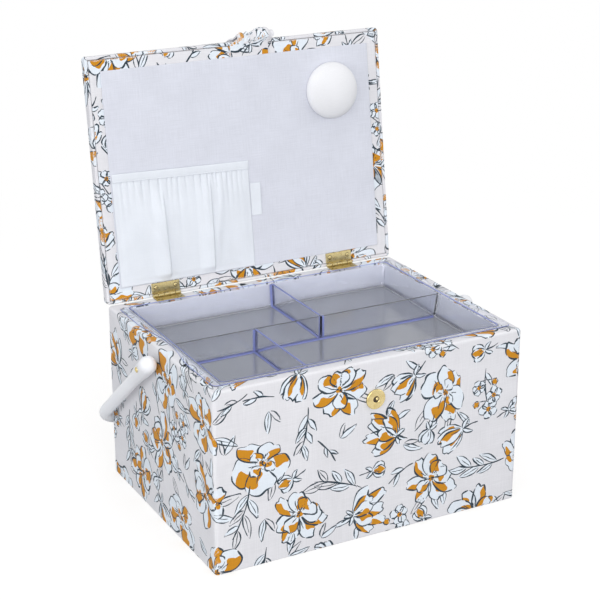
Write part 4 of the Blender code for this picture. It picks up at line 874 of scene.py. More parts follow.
def box_cover():
    """Cloth round the four walls: up the wall, over the rounded rim and down inside."""
    samples = rim_samples(80, 60, 8)
    foot, brim, bend, turned_in = 0.0006, 0.0103, 0.0015, 0.012
    wall = [(foot, 0.0)] + [(0, z) for z in np.linspace(foot, HEIGHT - RIM, 44)]
    over = arc((RIM, HEIGHT - RIM), RIM, 180, 90, 6)[1:]
    top = [(x, HEIGHT) for x in (0.0045, 0.0065, 0.0085, brim)]
    inside = arc((brim, HEIGHT - bend), bend, 90, 0, 4)[1:]
    down = [(0.0118, z) for z in np.linspace(HEIGHT - 2 * bend, HEIGHT - turned_in, 5)]
    profile = wall + over + top + inside + down
    grid = stacked(samples, profile, HALF_X, HALF_Y, CORNER)
    steps = np.linalg.norm(np.diff(np.array(profile), axis=0), axis=1)
    rise = np.concatenate([[0], np.cumsum(steps)])
    first = rounded_loop(samples, HALF_X, HALF_Y, CORNER)
    around = np.concatenate([[0], np.cumsum(np.linalg.norm(np.diff(first, axis=0), axis=1))])
    flat = np.stack(np.broadcast_arrays(around[None], rise[:, None]), -1)
    angle = samples[2]
    out = np.stack([np.cos(angle), np.sin(angle), 0 * angle], -1)
    calm = ease(rise[:, None] / 0.02) * ease((0.172 - rise[:, None]) / 0.02)
    level = 0.00012 * sway(around[None], rise[:, None], 0.06, 3) * calm
    grid = grid + level[..., None] * out[None] * (np.abs(np.sin(2 * angle)) < 0.01)[None, :, None]
    piece("box_cover_cloth", [(grid, flat, 0)], [LINEN], "box", ["outer_cover"], shut=False)

    def surface(spot):
        """The sleeve's point for cloth coordinates, between the four nearest points of its grid."""
        column = np.interp(spot[:, 0], around, np.arange(len(around)))
        row = np.interp(spot[:, 1], rise, np.arange(len(rise)))
        c, r = np.minimum(column.astype(int), len(around) - 2), np.minimum(row.astype(int), len(rise) - 2)
        a, b = (column - c)[:, None], (row - r)[:, None]
        lower, upper = (grid[row, c] * (1 - a) + grid[row, c + 1] * a for row in (r, r + 1))
        return lower * (1 - b) + upper * b

    bends = np.array([0.16, 0.4, 0.72, 0.96]) - 0.0008
    folds = np.array([0.001, 0.176, 0.187])

    def creases(spot):
        """How far points lie from the four corners, the foot and the rim's two bends."""
        return np.minimum(np.abs(spot[:, :1] - bends).min(1), np.abs(spot[:, 1:] - folds).min(1))

    shapes = strewn((0, 0), (around[-1] / MM, rise[-1] / MM), 6)
    edge, halfway = 0.0004, 0.5400
    for name, first, last in (("left", edge, halfway), ("right", halfway, around[-1] - edge)):
        inked(f"box_cover_print_{name}", shapes, surface, (first, edge), (last, rise[-1] - edge), creases, "box")


def base():
    """Plain cloth under the base, over the printed cloth that is turned in round it."""
    samples = rim_samples(40, 30, 6)
    margin = [(0.0100, 0.0003), (0.0095, 0.0002), (0.0030, 0.0002), (0.0009, 0.0004), (0.0009, 0.0006),
              (0.1200, 0.0006)]
    middle = [(0.1200, 0.00045), (0.060, 0.00045), (0.0105, 0.00045), (0.0100, 0.0003)]
    patches = []
    for number, profile in enumerate((margin, middle)):
        grid = stacked(samples, profile, HALF_X, HALF_Y, CORNER)
        patches.append((grid, grid[..., :2], number))
    piece("base_cloth", patches, [LINEN, BASE_CLOTH], "box", ["base_cover"])

    def surface(spot):
        """The margin seen from below, so X is turned over."""
        return np.stack([-spot[:, 0], spot[:, 1], np.full(len(spot), 0.0002)], -1)

    def creases(spot):
        """How far points lie from the plain cloth's edge."""
        return np.minimum(np.abs(np.abs(spot[:, 0]) - 0.1500), np.abs(np.abs(spot[:, 1]) - 0.1100))

    high, under = np.array([0.1565, 0.1165]), np.array([0.1503, 0.1103])
    shapes = strewn(-high / MM, high / MM, 33)
    inked("base_margin_print", shapes, surface, -high, high, creases, "box", covered=(-under, under))


def linings():
    """Cloth-covered cards against the walls and on the floor."""
    low, high, edge, fineness, half_y = 0.0095, 0.1758, 0.0009, 0.006, 0.1056
    made = []
    for name, side in (("front", -1), ("back", 1)):
        flat = card((-LINING_HALF_X, low, 0), (LINING_HALF_X, high, LINING_THICKNESS), edge, 0.0, fineness)
        made.append((name, flat, np.stack([flat[..., 0], side * (LINING_HALF_Y - flat[..., 2]), flat[..., 1]], -1)))
    for name, side in (("left", -1), ("right", 1)):
        flat = card((-half_y, low, 0), (half_y, high, LINING_THICKNESS), edge, 0.0, fineness)
        made.append((name, flat, np.stack([side * (LINING_HALF_X - flat[..., 2]), flat[..., 0], flat[..., 1]], -1)))
    flat = card((-LINING_HALF_X, -LINING_HALF_Y, 0.0072), (LINING_HALF_X, LINING_HALF_Y, 0.0092), edge, 0.0, fineness)
    made.append(("floor", flat, flat))
    for name, flat, grid in made:
        piece(f"{name}_lining_card", [(grid, flat[..., :2], 0)], [LINING], "box", [f"{name}_lining"])


def hinge_leaf(side, lid):
    """A pressed brass leaf with rounded corners and its own ones of the five knuckles, in place on its body."""
    low_x, depth, thick, knuckle = side * HINGE_X - HINGE_HALF, 0.0125, 0.0008, 0.0017
    pitch, gap, chamfer = 0.006, 0.00015, 0.0003
    up = 1 if lid else -1
    patches = [card((low_x, -depth, knuckle - thick), (side * HINGE_X + HINGE_HALF, -0.0018, knuckle),
                    0.0003, 0.0, 0.002)]
    for k in range(int(lid), 5, 2):
        x0, x1 = low_x + pitch * k + gap, low_x + pitch * (k + 1) - gap
        profile = [(0, x0), (0.0012, x0), (0.0015, x0 + 0.00008), (knuckle, x0 + chamfer),
                   (knuckle, x1 - chamfer), (0.0015, x1 - 0.00008), (0.0012, x1), (0, x1)]
        barrel = turned(profile, 32)
        patches.append(np.stack([barrel[..., 2], barrel[..., 0], barrel[..., 1]], -1))
        patches.append(card((x0, -0.0026, knuckle - thick), (x1, -0.0002, knuckle), 0.00015, 0.0, 0.001))
    patches = [np.stack([g[..., 0], g[..., 1], up * g[..., 2]], -1) for g in patches]
    return [opened(g) if lid else g + HINGE for g in patches]


def hinges():
    """Two butt hinges: on each body a leaf and two rivets, whose heads sit in a ring painted dark as shade, and one
    rod each.
    """
    seat, rivet_y, rod = 0.0009, -0.008, 0.0008
    for name, side in (("left", -1), ("right", 1)):
        for body, up in (("box", 1), ("lid", -1)):
            lid = body == "lid"
            piece(f"{name}_hinge_{body}_plate", [(g, None, 0) for g in hinge_leaf(side, lid)], [BRASS], body,
                  [f"{name}_hinge_{body}_leaf"], sharp=35)
            foot = -0.0042 if lid else -0.0068
            profile = [(0, foot), (0.0010, foot), (0.0010, 0.0), (0.0023, 0.0), (0.0023, 0.00012), (0.0018, 0.00014),
                       (0.0018, 0.00035), (0.0016, 0.00052), (0.0010, 0.00065), (0, 0.0007)]
            head = turned(profile, 24)
            for number, offset in ((1, -0.0105), (2, 0.0105)):
                g = np.stack([head[..., 0] + side * HINGE_X + offset, head[..., 1] + rivet_y,
                              up * head[..., 2] - up * seat], -1)
                g = opened(g) if lid else g + HINGE
                # The shank and the ring round the head take the dark brass of painted shade.
                piece(f"{name}_hinge_{body}_rivet_{number}", [(g[:6], None, 1), (g[5:], None, 0)], [BRASS, PAINTED_SHADE_BRASS],
                      body, [f"{name}_hinge_{body}_screw_{number}"], sharp=35)
        end, bevel = 0.01515, 0.0149
        spun = turned([(0, -end), (0.0006, -end), (rod, -bevel), (rod, bevel), (0.0006, end), (0, end)], 20)
        grid = np.stack([spun[..., 2] + side * HINGE_X, spun[..., 0], spun[..., 1]], -1) + HINGE
        piece(f"{name}_hinge_rod", [(grid, None, 0)], [BRASS], "box", [f"{name}_hinge_pin"],
              sharp=35)


def snap_socket():
    """The snap's pressed casing on the front wall: a domed ring, its pit painted dark as shade, and an eyelet off the
    middle.
    """
    profile = [(0.0088, 0.0003), (0.0096, 0.0003), (0.0097, 0.0006)]
    profile += arc((0.0088, 0.0012), 0.0009, 0, 80, 5)
    profile += [(0.0078, 0.00225), (0.0060, 0.00238), (0.0042, 0.00236), (0.0034, 0.0022), (0.0031, 0.00195)]
    profile = [(0, 0.00161), (0.0030, 0.00161), (0.0034, 0.0012), (0.0088, 0.0012)] + profile
    pit = [(0.0031, 0.00195), (0.0029, 0.00170), (0, 0.00168)]
    loop = [(0, 0.00165), (0.0013, 0.00165), (0.0014, 0.0019), (0.0011, 0.0021), (0.0006, 0.0021), (0.0004, 0.0019),
            (0, 0.0019)]
    patches = []
    # The pit takes finish 1, the dark brass that paints its shade.
    for spin, across, number in ((profile, 0, 0), (pit, 0, 1), (loop, 0.0011, 0)):
        ring = turned(spin, 64)
        place = [ring[..., 0] + SNAP_X + across, -HALF_Y - ring[..., 2], ring[..., 1] + SNAP_Z + across / 3]
        patches.append((np.stack(place, -1), None, number))
    piece("snap_casing", patches, [SNAP_BRASS, PAINTED_SHADE_BRASS], "box", ["snap_socket"], sharp=30)


# ---------------------------------------------------------------- lid

def inset_and_out(spot, half_x, half_y, corner, middle_y):
    """How far points lie inside a rounded rectangle, and the direction to its nearest edge."""
    x, y = spot[:, 0], spot[:, 1] - middle_y
    over_x, over_y = np.abs(x) - (half_x - corner), np.abs(y) - (half_y - corner)
    both = (over_x > 0) & (over_y > 0)
    reach = np.hypot(over_x, over_y) + 1e-12
    inset = np.where(both, corner - reach, np.minimum(half_x - np.abs(x), half_y - np.abs(y)))
    sideways = over_x > over_y
    out_x = np.where(both, over_x / reach, sideways) * np.sign(x)
    out_y = np.where(both, over_y / reach, ~sideways) * np.sign(y)
    return inset, np.stack([out_x, out_y], -1)


def lid_crown(inset):
    """The padded top's height: it rises from the edge as a quarter sine."""
    return LID_TOP + LID_CROWN * np.sin(np.clip(inset / LID_CROWN_WIDTH, 0, 1) * np.pi / 2)


def lid_cover():
    """The lid's cloth: crowned over the wadding, round the edge, and turned over the lip, with its print.

    Its cut shape is known by how far a point lies in from the lid's edge. The cloth past the edge, with a negative
    inset, goes down the side and over the lip by the same profile of (inset, height).
    """
    samples = rim_samples(128, 96, 8)
    lip = [(0.0034, 0.0062), (0.0032, 0.0028), (0.0028, 0.0021), (0.0022, 0.0020), (0.0010, 0.0020),
           (0.0004, 0.0022), (0.0, 0.0030)]
    side = [(0, z) for z in np.linspace(0.0042, LID_TOP - RIM, 4)]
    roll = np.linspace(0, np.pi / 2, 10)[1:]
    over = [(RIM * (1 - math.cos(a)),
             LID_TOP - RIM * (1 - math.sin(a)) + (lid_crown(RIM) - LID_TOP) * math.sin(a)) for a in roll]
    insets = np.concatenate([np.linspace(0.004, 0.032, 15), np.linspace(0.0345, HALF_Y, 36)])
    face = [(inset, lid_crown(inset)) for inset in insets]
    profile = np.array(lip + side + over + face)
    run = np.concatenate([[0], np.cumsum(np.linalg.norm(np.diff(profile, axis=0), axis=1))])
    edge = len(lip) + len(side) + len(over) - 1
    flat_inset = np.where(np.arange(len(profile)) < edge, profile[edge, 0] - (run[edge] - run), profile[:, 0])
    flat = np.array([rounded_loop(samples, HALF_X - i, HALF_Y - i, CORNER - i, LID_MID_Y) for i in flat_inset])

    def surface(spot):
        """The cloth's point for its cut shape: moved in or out to the profile's inset, at the profile's height."""
        inset, out = inset_and_out(spot, HALF_X, HALF_Y, CORNER, LID_MID_Y)
        place = spot + out * (inset - np.interp(inset, flat_inset, profile[:, 0]))[:, None]
        uneven = 0.00022 * sway(place[:, 0], place[:, 1], 0.09, 11) * ease((inset - 0.006) / 0.03)
        height = np.interp(inset, flat_inset, profile[:, 1]) + uneven
        return opened(np.concatenate([place, height[:, None]], 1))

    grid = surface(flat.reshape(-1, 2)).reshape(*flat.shape[:2], 3)
    piece("lid_cover_cloth", [(grid, flat, 0)], [LINEN], "lid", ["lid_cover"], shut=False)
    bends = flat_inset[[1, 3, 6, 8, edge - 4, edge]]

    def creases(spot):
        """How far points lie from the lid's corners and from the bends of its edge."""
        inset, out = inset_and_out(spot, HALF_X, HALF_Y, CORNER, LID_MID_Y)
        gap = np.abs(inset[:, None] - bends).min(1)
        return np.where((np.abs(out).min(1) > 0) & (inset < 0.01), 0,
                        np.where(inset < 0.004, np.minimum(gap, 0.004), gap))

    far = -flat_inset[0] - 0.0004
    low, high = (-HALF_X - far, LID_MID_Y - HALF_Y - far), (HALF_X + far, LID_MID_Y + HALF_Y + far)
    shapes = strewn(np.array(low) / MM, np.array(high) / MM, 15)
    inked("lid_cover_print", shapes, surface, low, high, creases, "lid")


def lid_panel():
    """Printed card inside the lip, with rolled edges, and the lining card on it. Both face down on a shut lid."""
    low = np.array([-PANEL_HALF_X, LID_MID_Y - PANEL_HALF_Y])
    high = np.array([PANEL_HALF_X, LID_MID_Y + PANEL_HALF_Y])
    grid = card((*low, -0.0061), (*high, -0.0020), PANEL_EDGE, 0.0, 0.006) * [-1, 1, -1]
    piece("lid_panel_cloth", [(opened(grid), grid[..., :2] * [-1, 1], 0)], [LINEN], "lid", ["lid_inner_panel"])

    def surface(spot):
        """The card's face seen from inside the box, so X is turned over; a quarter ellipse at its edge."""
        inset, _ = inset_and_out(spot, PANEL_HALF_X, PANEL_HALF_Y, 0.0013, LID_MID_Y)
        fall = 0.00205 * (1 - np.sqrt(np.clip(1 - (1 - np.clip(inset / PANEL_EDGE, 0, 1)) ** 2, 0, 1)))
        return opened(np.stack([-spot[:, 0], spot[:, 1], 0.0020 + fall], -1))

    def creases(spot):
        """How far points lie from the card's rolled edge."""
        inset, _ = inset_and_out(spot, PANEL_HALF_X, PANEL_HALF_Y, 0.0013, LID_MID_Y)
        return np.abs(inset - 0.0005)

    under = (np.array([-0.1436, LID_MID_Y - 0.1036]), np.array([0.1436, LID_MID_Y + 0.1036]))
    shapes = strewn(low / MM, high / MM, 27)
    inked("lid_panel_print", shapes, surface, low + 0.0002, high - 0.0002, creases, "lid", covered=under)
    half_x, half_y = 0.1456, 0.1056
    grid = card((-half_x, LID_MID_Y - half_y, -0.0017), (half_x, LID_MID_Y + half_y, -0.0007), 0.0008, 0.0003, 0.004)
    grid = grid * [-1, 1, -1]
    piece("lid_lining_card", [(opened(grid), grid[..., :2], 0)], [LINING], "lid", ["lid_lining"])


def pocket():
    """Gathered pocket: cloth drawn in under a plain hem and sewn flat at its sides and foot.

    Its fullness is a low puff, plus a valley under the hem for each gather that widens and fades downwards, plus
    two long pleats that rise slowly and fall off sharply, plus two drag lines slantwise between the gathers and the
    foot.
    """
    left, right, top, deep, hem = -0.1446, 0.0006, -0.0139, (0.1115, 0.1070), 0.0085
    gathers = (0.03, 0.064, 0.11, 0.154, 0.21, 0.265, 0.33, 0.393, 0.43, 0.47, 0.526, 0.59, 0.64, 0.692, 0.73, 0.756,
               0.80, 0.838, 0.88, 0.915, 0.955)
    pleats = ((0.335, 0.016, 0.10, 0.0034), (0.692, -0.012, 0.0, 0.0032))
    share, down = np.meshgrid(np.linspace(0, 1, 261), np.linspace(0, 1, 161))
    height = deep[0] + (deep[1] - deep[0]) * share
    sewn = ease(share * 16) * ease((1 - share) * 16) * ease((1 - down) * 14)
    full = 0.0024 * np.sin(np.pi * share) ** 0.5 * (0.35 + 0.65 * np.sin(np.pi * np.clip(down * 1.04, 0, 1)) ** 0.8)
    rng = np.random.default_rng(8)
    for place in gathers:
        slant, fade, depth = rng.uniform(-0.03, 0.03), rng.uniform(0.10, 0.42), rng.uniform(0.0009, 0.0018)
        spread = 0.0065 + 0.030 * down
        full -= depth * np.exp(-((share - place - slant * down) / spread) ** 2) * np.exp(-down / fade)
    for at, lean, first, rise in pleats:
        past = share - (at + lean * down)
        full += rise * ease((past + 0.11) / 0.11) * (1 - ease(past / 0.022)) * ease((down - first) / 0.25)
    belly = np.sin(np.pi * np.clip(down, 0, 1))
    full += 0.0024 * np.exp(-((share - 0.13 - 0.26 * down) / 0.045) ** 2) * belly ** 0.8
    full += 0.0014 * np.exp(-((share - 0.80 + 0.10 * down) / 0.03) ** 2) * belly
    full += 0.00018 * sway(share * 0.144, down * 0.1, 0.022, 12)
    depth = 0.0004 + np.clip(sewn * full, 0, None)
    x = left + (right - left) * share
    y = top - height + hem * 0.7 + (height - hem * 0.7) * down
    run = np.concatenate([np.zeros_like(x[:, :1]),
                          np.cumsum(np.hypot(np.diff(x, axis=1), np.diff(depth, axis=1)), 1)], 1)
    grid = opened(np.stack([x, y, 0.0004 - depth], -1))
    cloth = piece("pocket_cloth", [(grid, np.stack([run, y], -1), 0)], [COTTON], "lid", ["pocket"],
                  shut=False)
    wall = cloth.modifiers.new("cloth", "SOLIDIFY")
    wall.thickness, wall.offset = 0.0003, -1
    across = np.linspace(0, 1, 221)
    tall = deep[0] + (deep[1] - deep[0]) * across
    ripple = 0.00012 * sway(across * 0.144, 0 * across, 0.007, 6)
    bow = 0.0004 - 0.0010 - 0.0012 * np.sin(np.pi * across) ** 0.5 + ripple
    path = np.stack([left + (right - left) * across, top - tall + hem / 2, bow], -1)
    band = swept(path, hem / 2, 0.00075, np.array([0, 1.0, 0]), 40, 3.4)
    seam_down = 0.0016
    seam = np.exp(-((band[..., 1] - (path[:, None, 1] + hem / 2 - seam_down)) / 0.0004) ** 2)
    stitches = 0.5 + 0.5 * np.sin(2 * np.pi * band[..., 0] / 0.0026)
    band[..., 2] += 0.00035 * seam * (0.45 + 0.55 * stitches)
    band = np.concatenate([path[:1, None] + 0 * band[:1], band, path[-1:, None] + 0 * band[:1]])
    fold = piece("pocket_hem_cloth", [(opened(band), band[..., :2], 0)], [COTTON], "lid", ["pocket_hem"])


def label():
    """Bare woven tape, folded double and caught in the pocket's seam: its free fold stands off a little."""
    seam_x, low_y, width, length = 0.0016, -0.0974, 0.0107, 0.0325
    grid = card((seam_x, low_y, -0.0004), (0.0123, -0.0649, 0.0002), 0.0003, 0, 0.0008) * [1, 1, -1]
    share = np.clip((grid[..., 0] - seam_x) / width, 0, 1)
    flat = grid[..., :2].copy()
    grid[..., 2] -= 0.0009 * share ** 2 + 0.0002 * np.sin(2 * np.pi * (grid[..., 1] - low_y) / length) * share
    piece("side_tape_label", [(opened(grid), flat, 0)], [COTTON], "lid", ["side_label"])


def pincushion():
    """Stuffed dome drawn in to its seam."""
    wide, tall, middle_x, middle_y = 0.0285, 0.0175, 0.0993, -0.1809
    angle = np.linspace(0, np.pi / 2, 28)
    radius = wide * np.cos(angle) ** 0.9
    rise = tall * 0.22 + tall * 0.78 * np.sin(angle)
    radius[-1] = 0
    profile = [(0, 0), (0.0262, 0.0), (0.0270, 0.0008), (0.0279, 0.0020)] + list(zip(radius, rise))
    dome = turned(profile, 96)
    grid = np.stack([dome[..., 0] + middle_x, dome[..., 1] + middle_y, 0.0004 - dome[..., 2]], -1)
    thing = piece("pincushion_dome", [(opened(grid), dome[..., :2], 0)], [CALICO], "lid", ["pincushion"])


# ---------------------------------------------------------------- strap

def softened(points, count, soften):
    """A polyline resampled evenly by length and then rounded by averaging each point with its neighbours."""
    points = np.array(points, float)
    run = np.concatenate([[0], np.cumsum(np.linalg.norm(np.diff(points, axis=0), axis=1))])
    even = np.linspace(0, run[-1], count)
    path = np.stack([np.interp(even, run, points[:, k]) for k in range(points.shape[1])], -1)
    for _ in range(soften):
        path[1:-1] = (path[:-2] + 2 * path[1:-1] + path[2:]) / 4
    return path


# The strap's middle line seen from the side, (Y, Z) in metres: up the panel, over the lid's edge and down behind it
STRAP_SIDE = [(0.1503, 0.4007), (0.1510, 0.4060), (0.1516, 0.4105), (0.1519, 0.4150), (0.1526, 0.4196),
              (0.1558, 0.4222), (0.1600, 0.4216), (0.1650, 0.4203), (0.1694, 0.4182),
              (0.1717, 0.4142), (0.1724, 0.4080),
              (0.17242, 0.3950), (0.17242, 0.3797)]
STRAP_LINE = softened(STRAP_SIDE, 161, 14)
STRAP_RUN = np.concatenate([[0], np.cumsum(np.linalg.norm(np.diff(STRAP_LINE, axis=0), axis=1))])
SECTION_WIDE, SECTION_THICK = 0.35, 0.5


def strap_half(along):
    """Half the strap's width at a distance along it: its end is rounded with the flap's corners."""
    left = STRAP_RUN[-1] - along
    return STRAP_HALF - FLAP_CORNER * (1 - np.sqrt(1 - np.clip((FLAP_CORNER - left) / FLAP_CORNER, 0, 1) ** 2))


def strap_at(along, turn):
    """The strap's point at a distance along it, in metres, and an angle round its flat section.

    The section is a superellipse, closing round the flap's lower corners. Where it goes over the lid's edge
    it is drawn together: shallow pleats along it to the left, then a crease and a puffed roll.
    """
    y, z = (np.interp(along, STRAP_RUN, STRAP_LINE[:, k]) for k in (0, 1))
    small = 0.0006
    ahead = np.stack([np.interp(along + small, STRAP_RUN, STRAP_LINE[:, k])
                      - np.interp(along - small, STRAP_RUN, STRAP_LINE[:, k]) for k in (0, 1)], -1)
    ahead /= np.linalg.norm(ahead, axis=-1, keepdims=True)
    half = strap_half(along)
    thick = np.interp(along, [0, 0.012, 0.018, 0.023, 0.032, 0.045, 0.080],
                      [0.0004, 0.0005, 0.0016, 0.0026, 0.0024, 0.0012, 0.0012])
    c, s = np.cos(turn), np.sin(turn)
    c, s = np.sign(c) * np.abs(c) ** SECTION_WIDE, np.sign(s) * np.abs(s) ** SECTION_THICK
    drawn = ease((along - 0.011) / 0.008) * ease((0.048 - along) / 0.016)
    behind = ease((along - 0.022) / 0.010) * ease((0.058 - along) / 0.018)
    x = STRAP_X + half * c * (1 - 0.05 * drawn) + 0.0085 * drawn + 0.0010 * behind
    roll = ease((x - 0.017) / 0.007) * (1 - ease((x - 0.032) / 0.009))
    thick = thick * (0.55 + 0.45 * roll)
    wander = 1.3 * np.sin(x * 230 + along * 90)
    pleats = 0.0010 * (1 - 0.75 * roll) * np.sin(2 * np.pi * (x / 0.0056 + along / 0.060) + wander)
    crease = (-0.0017 * np.exp(-((x - 0.0165 - 0.35 * (along - 0.030)) / 0.0013) ** 2)
              - 0.0011 * np.exp(-((x - 0.0225 + 0.5 * (along - 0.028)) / 0.0012) ** 2))
    puckers = pleats + crease + 0.0022 * roll - 0.0008 + 0.0003 * sway(x, along, 0.006, 21)
    out = thick * s + drawn * puckers * (1 - 0.4 * np.abs(c) ** 6)
    out = out - 0.0030 * behind * (1 - roll)
    return np.stack([x, y - out * ahead[..., 1], z + out * ahead[..., 0]], -1)


def strap():
    """The strap in two pieces, over the lid's edge and down the flap. They meet halfway along the neck."""
    turn = np.linspace(0, 2 * np.pi, 129)
    half_way = STRAP_RUN[66]
    shapes = strewn((-32, -8), (32, STRAP_RUN[-1] / MM + 8), 61)
    for name, first, last, nodes, blend in (
        ("strap_neck", STRAP_RUN[0], half_way, ["strap_root", "strap_neck"],
         ("lid", "strap_neck", (STRAP_X, 0.1515, 0.4145), (STRAP_X, 0.1555, 0.4190))),
        ("strap_flap", half_way, STRAP_RUN[-1], ["strap_flap"],
         ("strap_neck", "strap_flap", (STRAP_X, 0.1670, 0.4200), (STRAP_X, 0.1722, 0.4120))),
    ):
        along = np.linspace(first, last, 70)[:, None]
        grid = strap_at(along + 0 * turn, turn + 0 * along)
        middle = grid.mean(1, keepdims=True)
        flat = np.stack([grid[..., 0], np.broadcast_to(along, grid.shape[:2])], -1)
        grid = np.concatenate([middle[:1] + 0 * grid[:1], grid, middle[-1:] + 0 * grid[:1]])
        cloth = piece(f"{name}_cloth", [(grid, flat[[0, *range(len(flat)), -1]], 0)], [LINEN], None, nodes,
                      sharp=70)
        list(blend[:2])
        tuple(blend[2])
        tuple(blend[3])
        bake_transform(cloth)

        def surface(spot):
            """The outer face: the share across gives the section's angle."""
            share = np.clip(spot[:, 0] / strap_half(spot[:, 1]), -0.9999, 0.9999)
            return strap_at(spot[:, 1], np.arccos(np.sign(share) * np.abs(share) ** (1 / SECTION_WIDE)))

        def creases(spot):
            """Nothing along the edges and over the lid's edge, where the strap bends, and far from it elsewhere."""
            at_edge = np.abs(np.abs(spot[:, 0]) - 0.020) < 0.002
            return np.where(at_edge | ((spot[:, 1] > 0.010) & (spot[:, 1] < 0.052)), 0, 1)

        inked(f"{name}_print", shapes, surface, (-0.0204, first + 0.0002), (0.0204, last - 0.0002), creases, None,
              blend)
    profile = [(0, 0.0), (0.0083, 0.0), (0.0085, 0.0002), (0.0085, 0.0005), (0.0082, 0.0007), (0.0040, 0.0007),
               (0.0030, 0.0008), (0.0025, 0.0011), (0.0024, 0.0018), (0.0021, 0.0022), (0.0015, 0.0023), (0, 0.0023)]
    stud, seat_y, middle_z = turned(profile, 48), 0.17392, 0.39464
    grid = np.stack([stud[..., 0] + SNAP_X, seat_y + stud[..., 2], -stud[..., 1] + middle_z], -1)
    piece("snap_stud_disc", [(grid, None, 0)], [BRASS], "strap_flap", ["snap_stud"], sharp=30)


# ---------------------------------------------------------------- handle and tray

def handle():
    """Moulded bail: a round tube along its path, its ends fuller and rounded off."""
    length, bend, arm, hang = 0.18063, 0.052, 0.1717, math.radians(38.6)
    end, bar, end_y, taper = 0.0084, 0.0062, -0.009, 0.048
    ends = [(end_y - end * math.sin(a), end * math.cos(a)) for a in np.linspace(np.pi / 2, 0, 12)]
    straight = np.linspace(end_y, length - bend, 40)
    share = ease((straight - end_y) / taper)
    y = np.concatenate([[e[0] for e in ends], straight[1:]])
    radius = np.concatenate([[e[1] for e in ends], (end + (bar - end) * share)[1:]])
    arm_points = np.stack([np.full_like(y, -arm), y, 0 * y], -1)
    a = np.linspace(0, np.pi / 2, 24)[1:]
    bend_points = np.stack([-arm + bend * (1 - np.cos(a)), length - bend + bend * np.sin(a), 0 * a], -1)
    grip = np.stack([np.linspace(-arm + bend, 0, 16)[1:], np.full(15, length), np.zeros(15)], -1)
    half = np.concatenate([arm_points, bend_points, grip])
    size = np.concatenate([radius, np.full(len(bend_points) + len(grip), bar)])
    path = np.concatenate([half, (half * [-1, 1, 1])[-2::-1]])
    size = np.concatenate([size, size[-2::-1]])
    tube = swept(path, size, size, np.array([0, 0, 1.0]), 40)
    tube[0], tube[-1] = path[0], path[-1]
    grid = placed(tube, -hang, (0, PIVOT_Y, PIVOT_Z))
    piece("handle_moulding", [(grid, None, 0)], [PLASTIC], "carrying_handle", ["handle"], sharp=60)


def handle_pins():
    """The handle's pins, from inside the wall to a domed and pierced head, and the eased rings behind its arms."""
    head = [(0, 0.1511), (0.0012, 0.1511), (0.0012, 0.1796), (0.0027, 0.1796), (0.0027, 0.1801), (0.0025, 0.1805),
            (0.0020, 0.18085), (0.0013, 0.1810), (0.0011, 0.1809), (0.0007, 0.1802), (0, 0.1800)]
    ring = [(0.0014, 0.1603), (0.0038, 0.1603), (0.0041, 0.1604), (0.0042, 0.1607), (0.0042, 0.1626),
            (0.0041, 0.1629), (0.0038, 0.1630), (0.0014, 0.1630), (0.0014, 0.1603)]
    for name, side in (("left", -1), ("right", 1)):
        for part, profile, node in (("pin", head, "screw"), ("ring", ring, "spacer")):
            around = turned(profile, 48)
            grid = np.stack([side * around[..., 2], around[..., 0] + PIVOT_Y, around[..., 1] + PIVOT_Z], -1)
            piece(f"{name}_handle_{part}", [(grid, None, 0)], [BRASS], "box", [f"{name}_handle_{node}"],
                  sharp=30)


def well_samples(back, left, front, right, corner=6):
    """A loop's samples from its back right corner round by the left: shares across and along, and outward direction.

    Each side is given by its own shares, and each corner by a quarter turn.
    """
    turn = np.linspace(0, np.pi / 2, corner + 1)[1:-1]
    parts = [(back, 1, np.pi / 2), (0, 1, np.pi / 2 + turn), (0, left, np.pi), (0, 0, np.pi + turn),
             (front, 0, 1.5 * np.pi), (1, 0, 1.5 * np.pi + turn), (1, right, 2 * np.pi), (1, 1, 2 * np.pi + turn),
             (back[:1], 1, 2.5 * np.pi)]
    rows = [np.broadcast_arrays(*part) for part in parts]
    share_x, share_y, angle = [np.concatenate([row[k] for row in rows]).astype(float) for k in range(3)]
    return share_x, share_y, np.cos(angle), np.sin(angle)


def well_loop(samples, x0, x1, y0, y1, radii, height):
    """One level loop: between corner centres by the shares, and out by a radius blended from the four corners'."""
    share_x, share_y, out_x, out_y = samples
    radii = np.minimum(radii, max(0.0, min(x1 - x0, y1 - y0) / 2))
    front, back = radii[0] + (radii[1] - radii[0]) * share_x, radii[2] + (radii[3] - radii[2]) * share_x
    radius = front + (back - front) * share_y
    x = (x0 + radius) * (1 - share_x) + (x1 - radius) * share_x + radius * out_x
    y = (y0 + radius) * (1 - share_y) + (y1 - radius) * share_y + radius * out_y
    return np.stack([x, y, np.full_like(x, height)], -1)


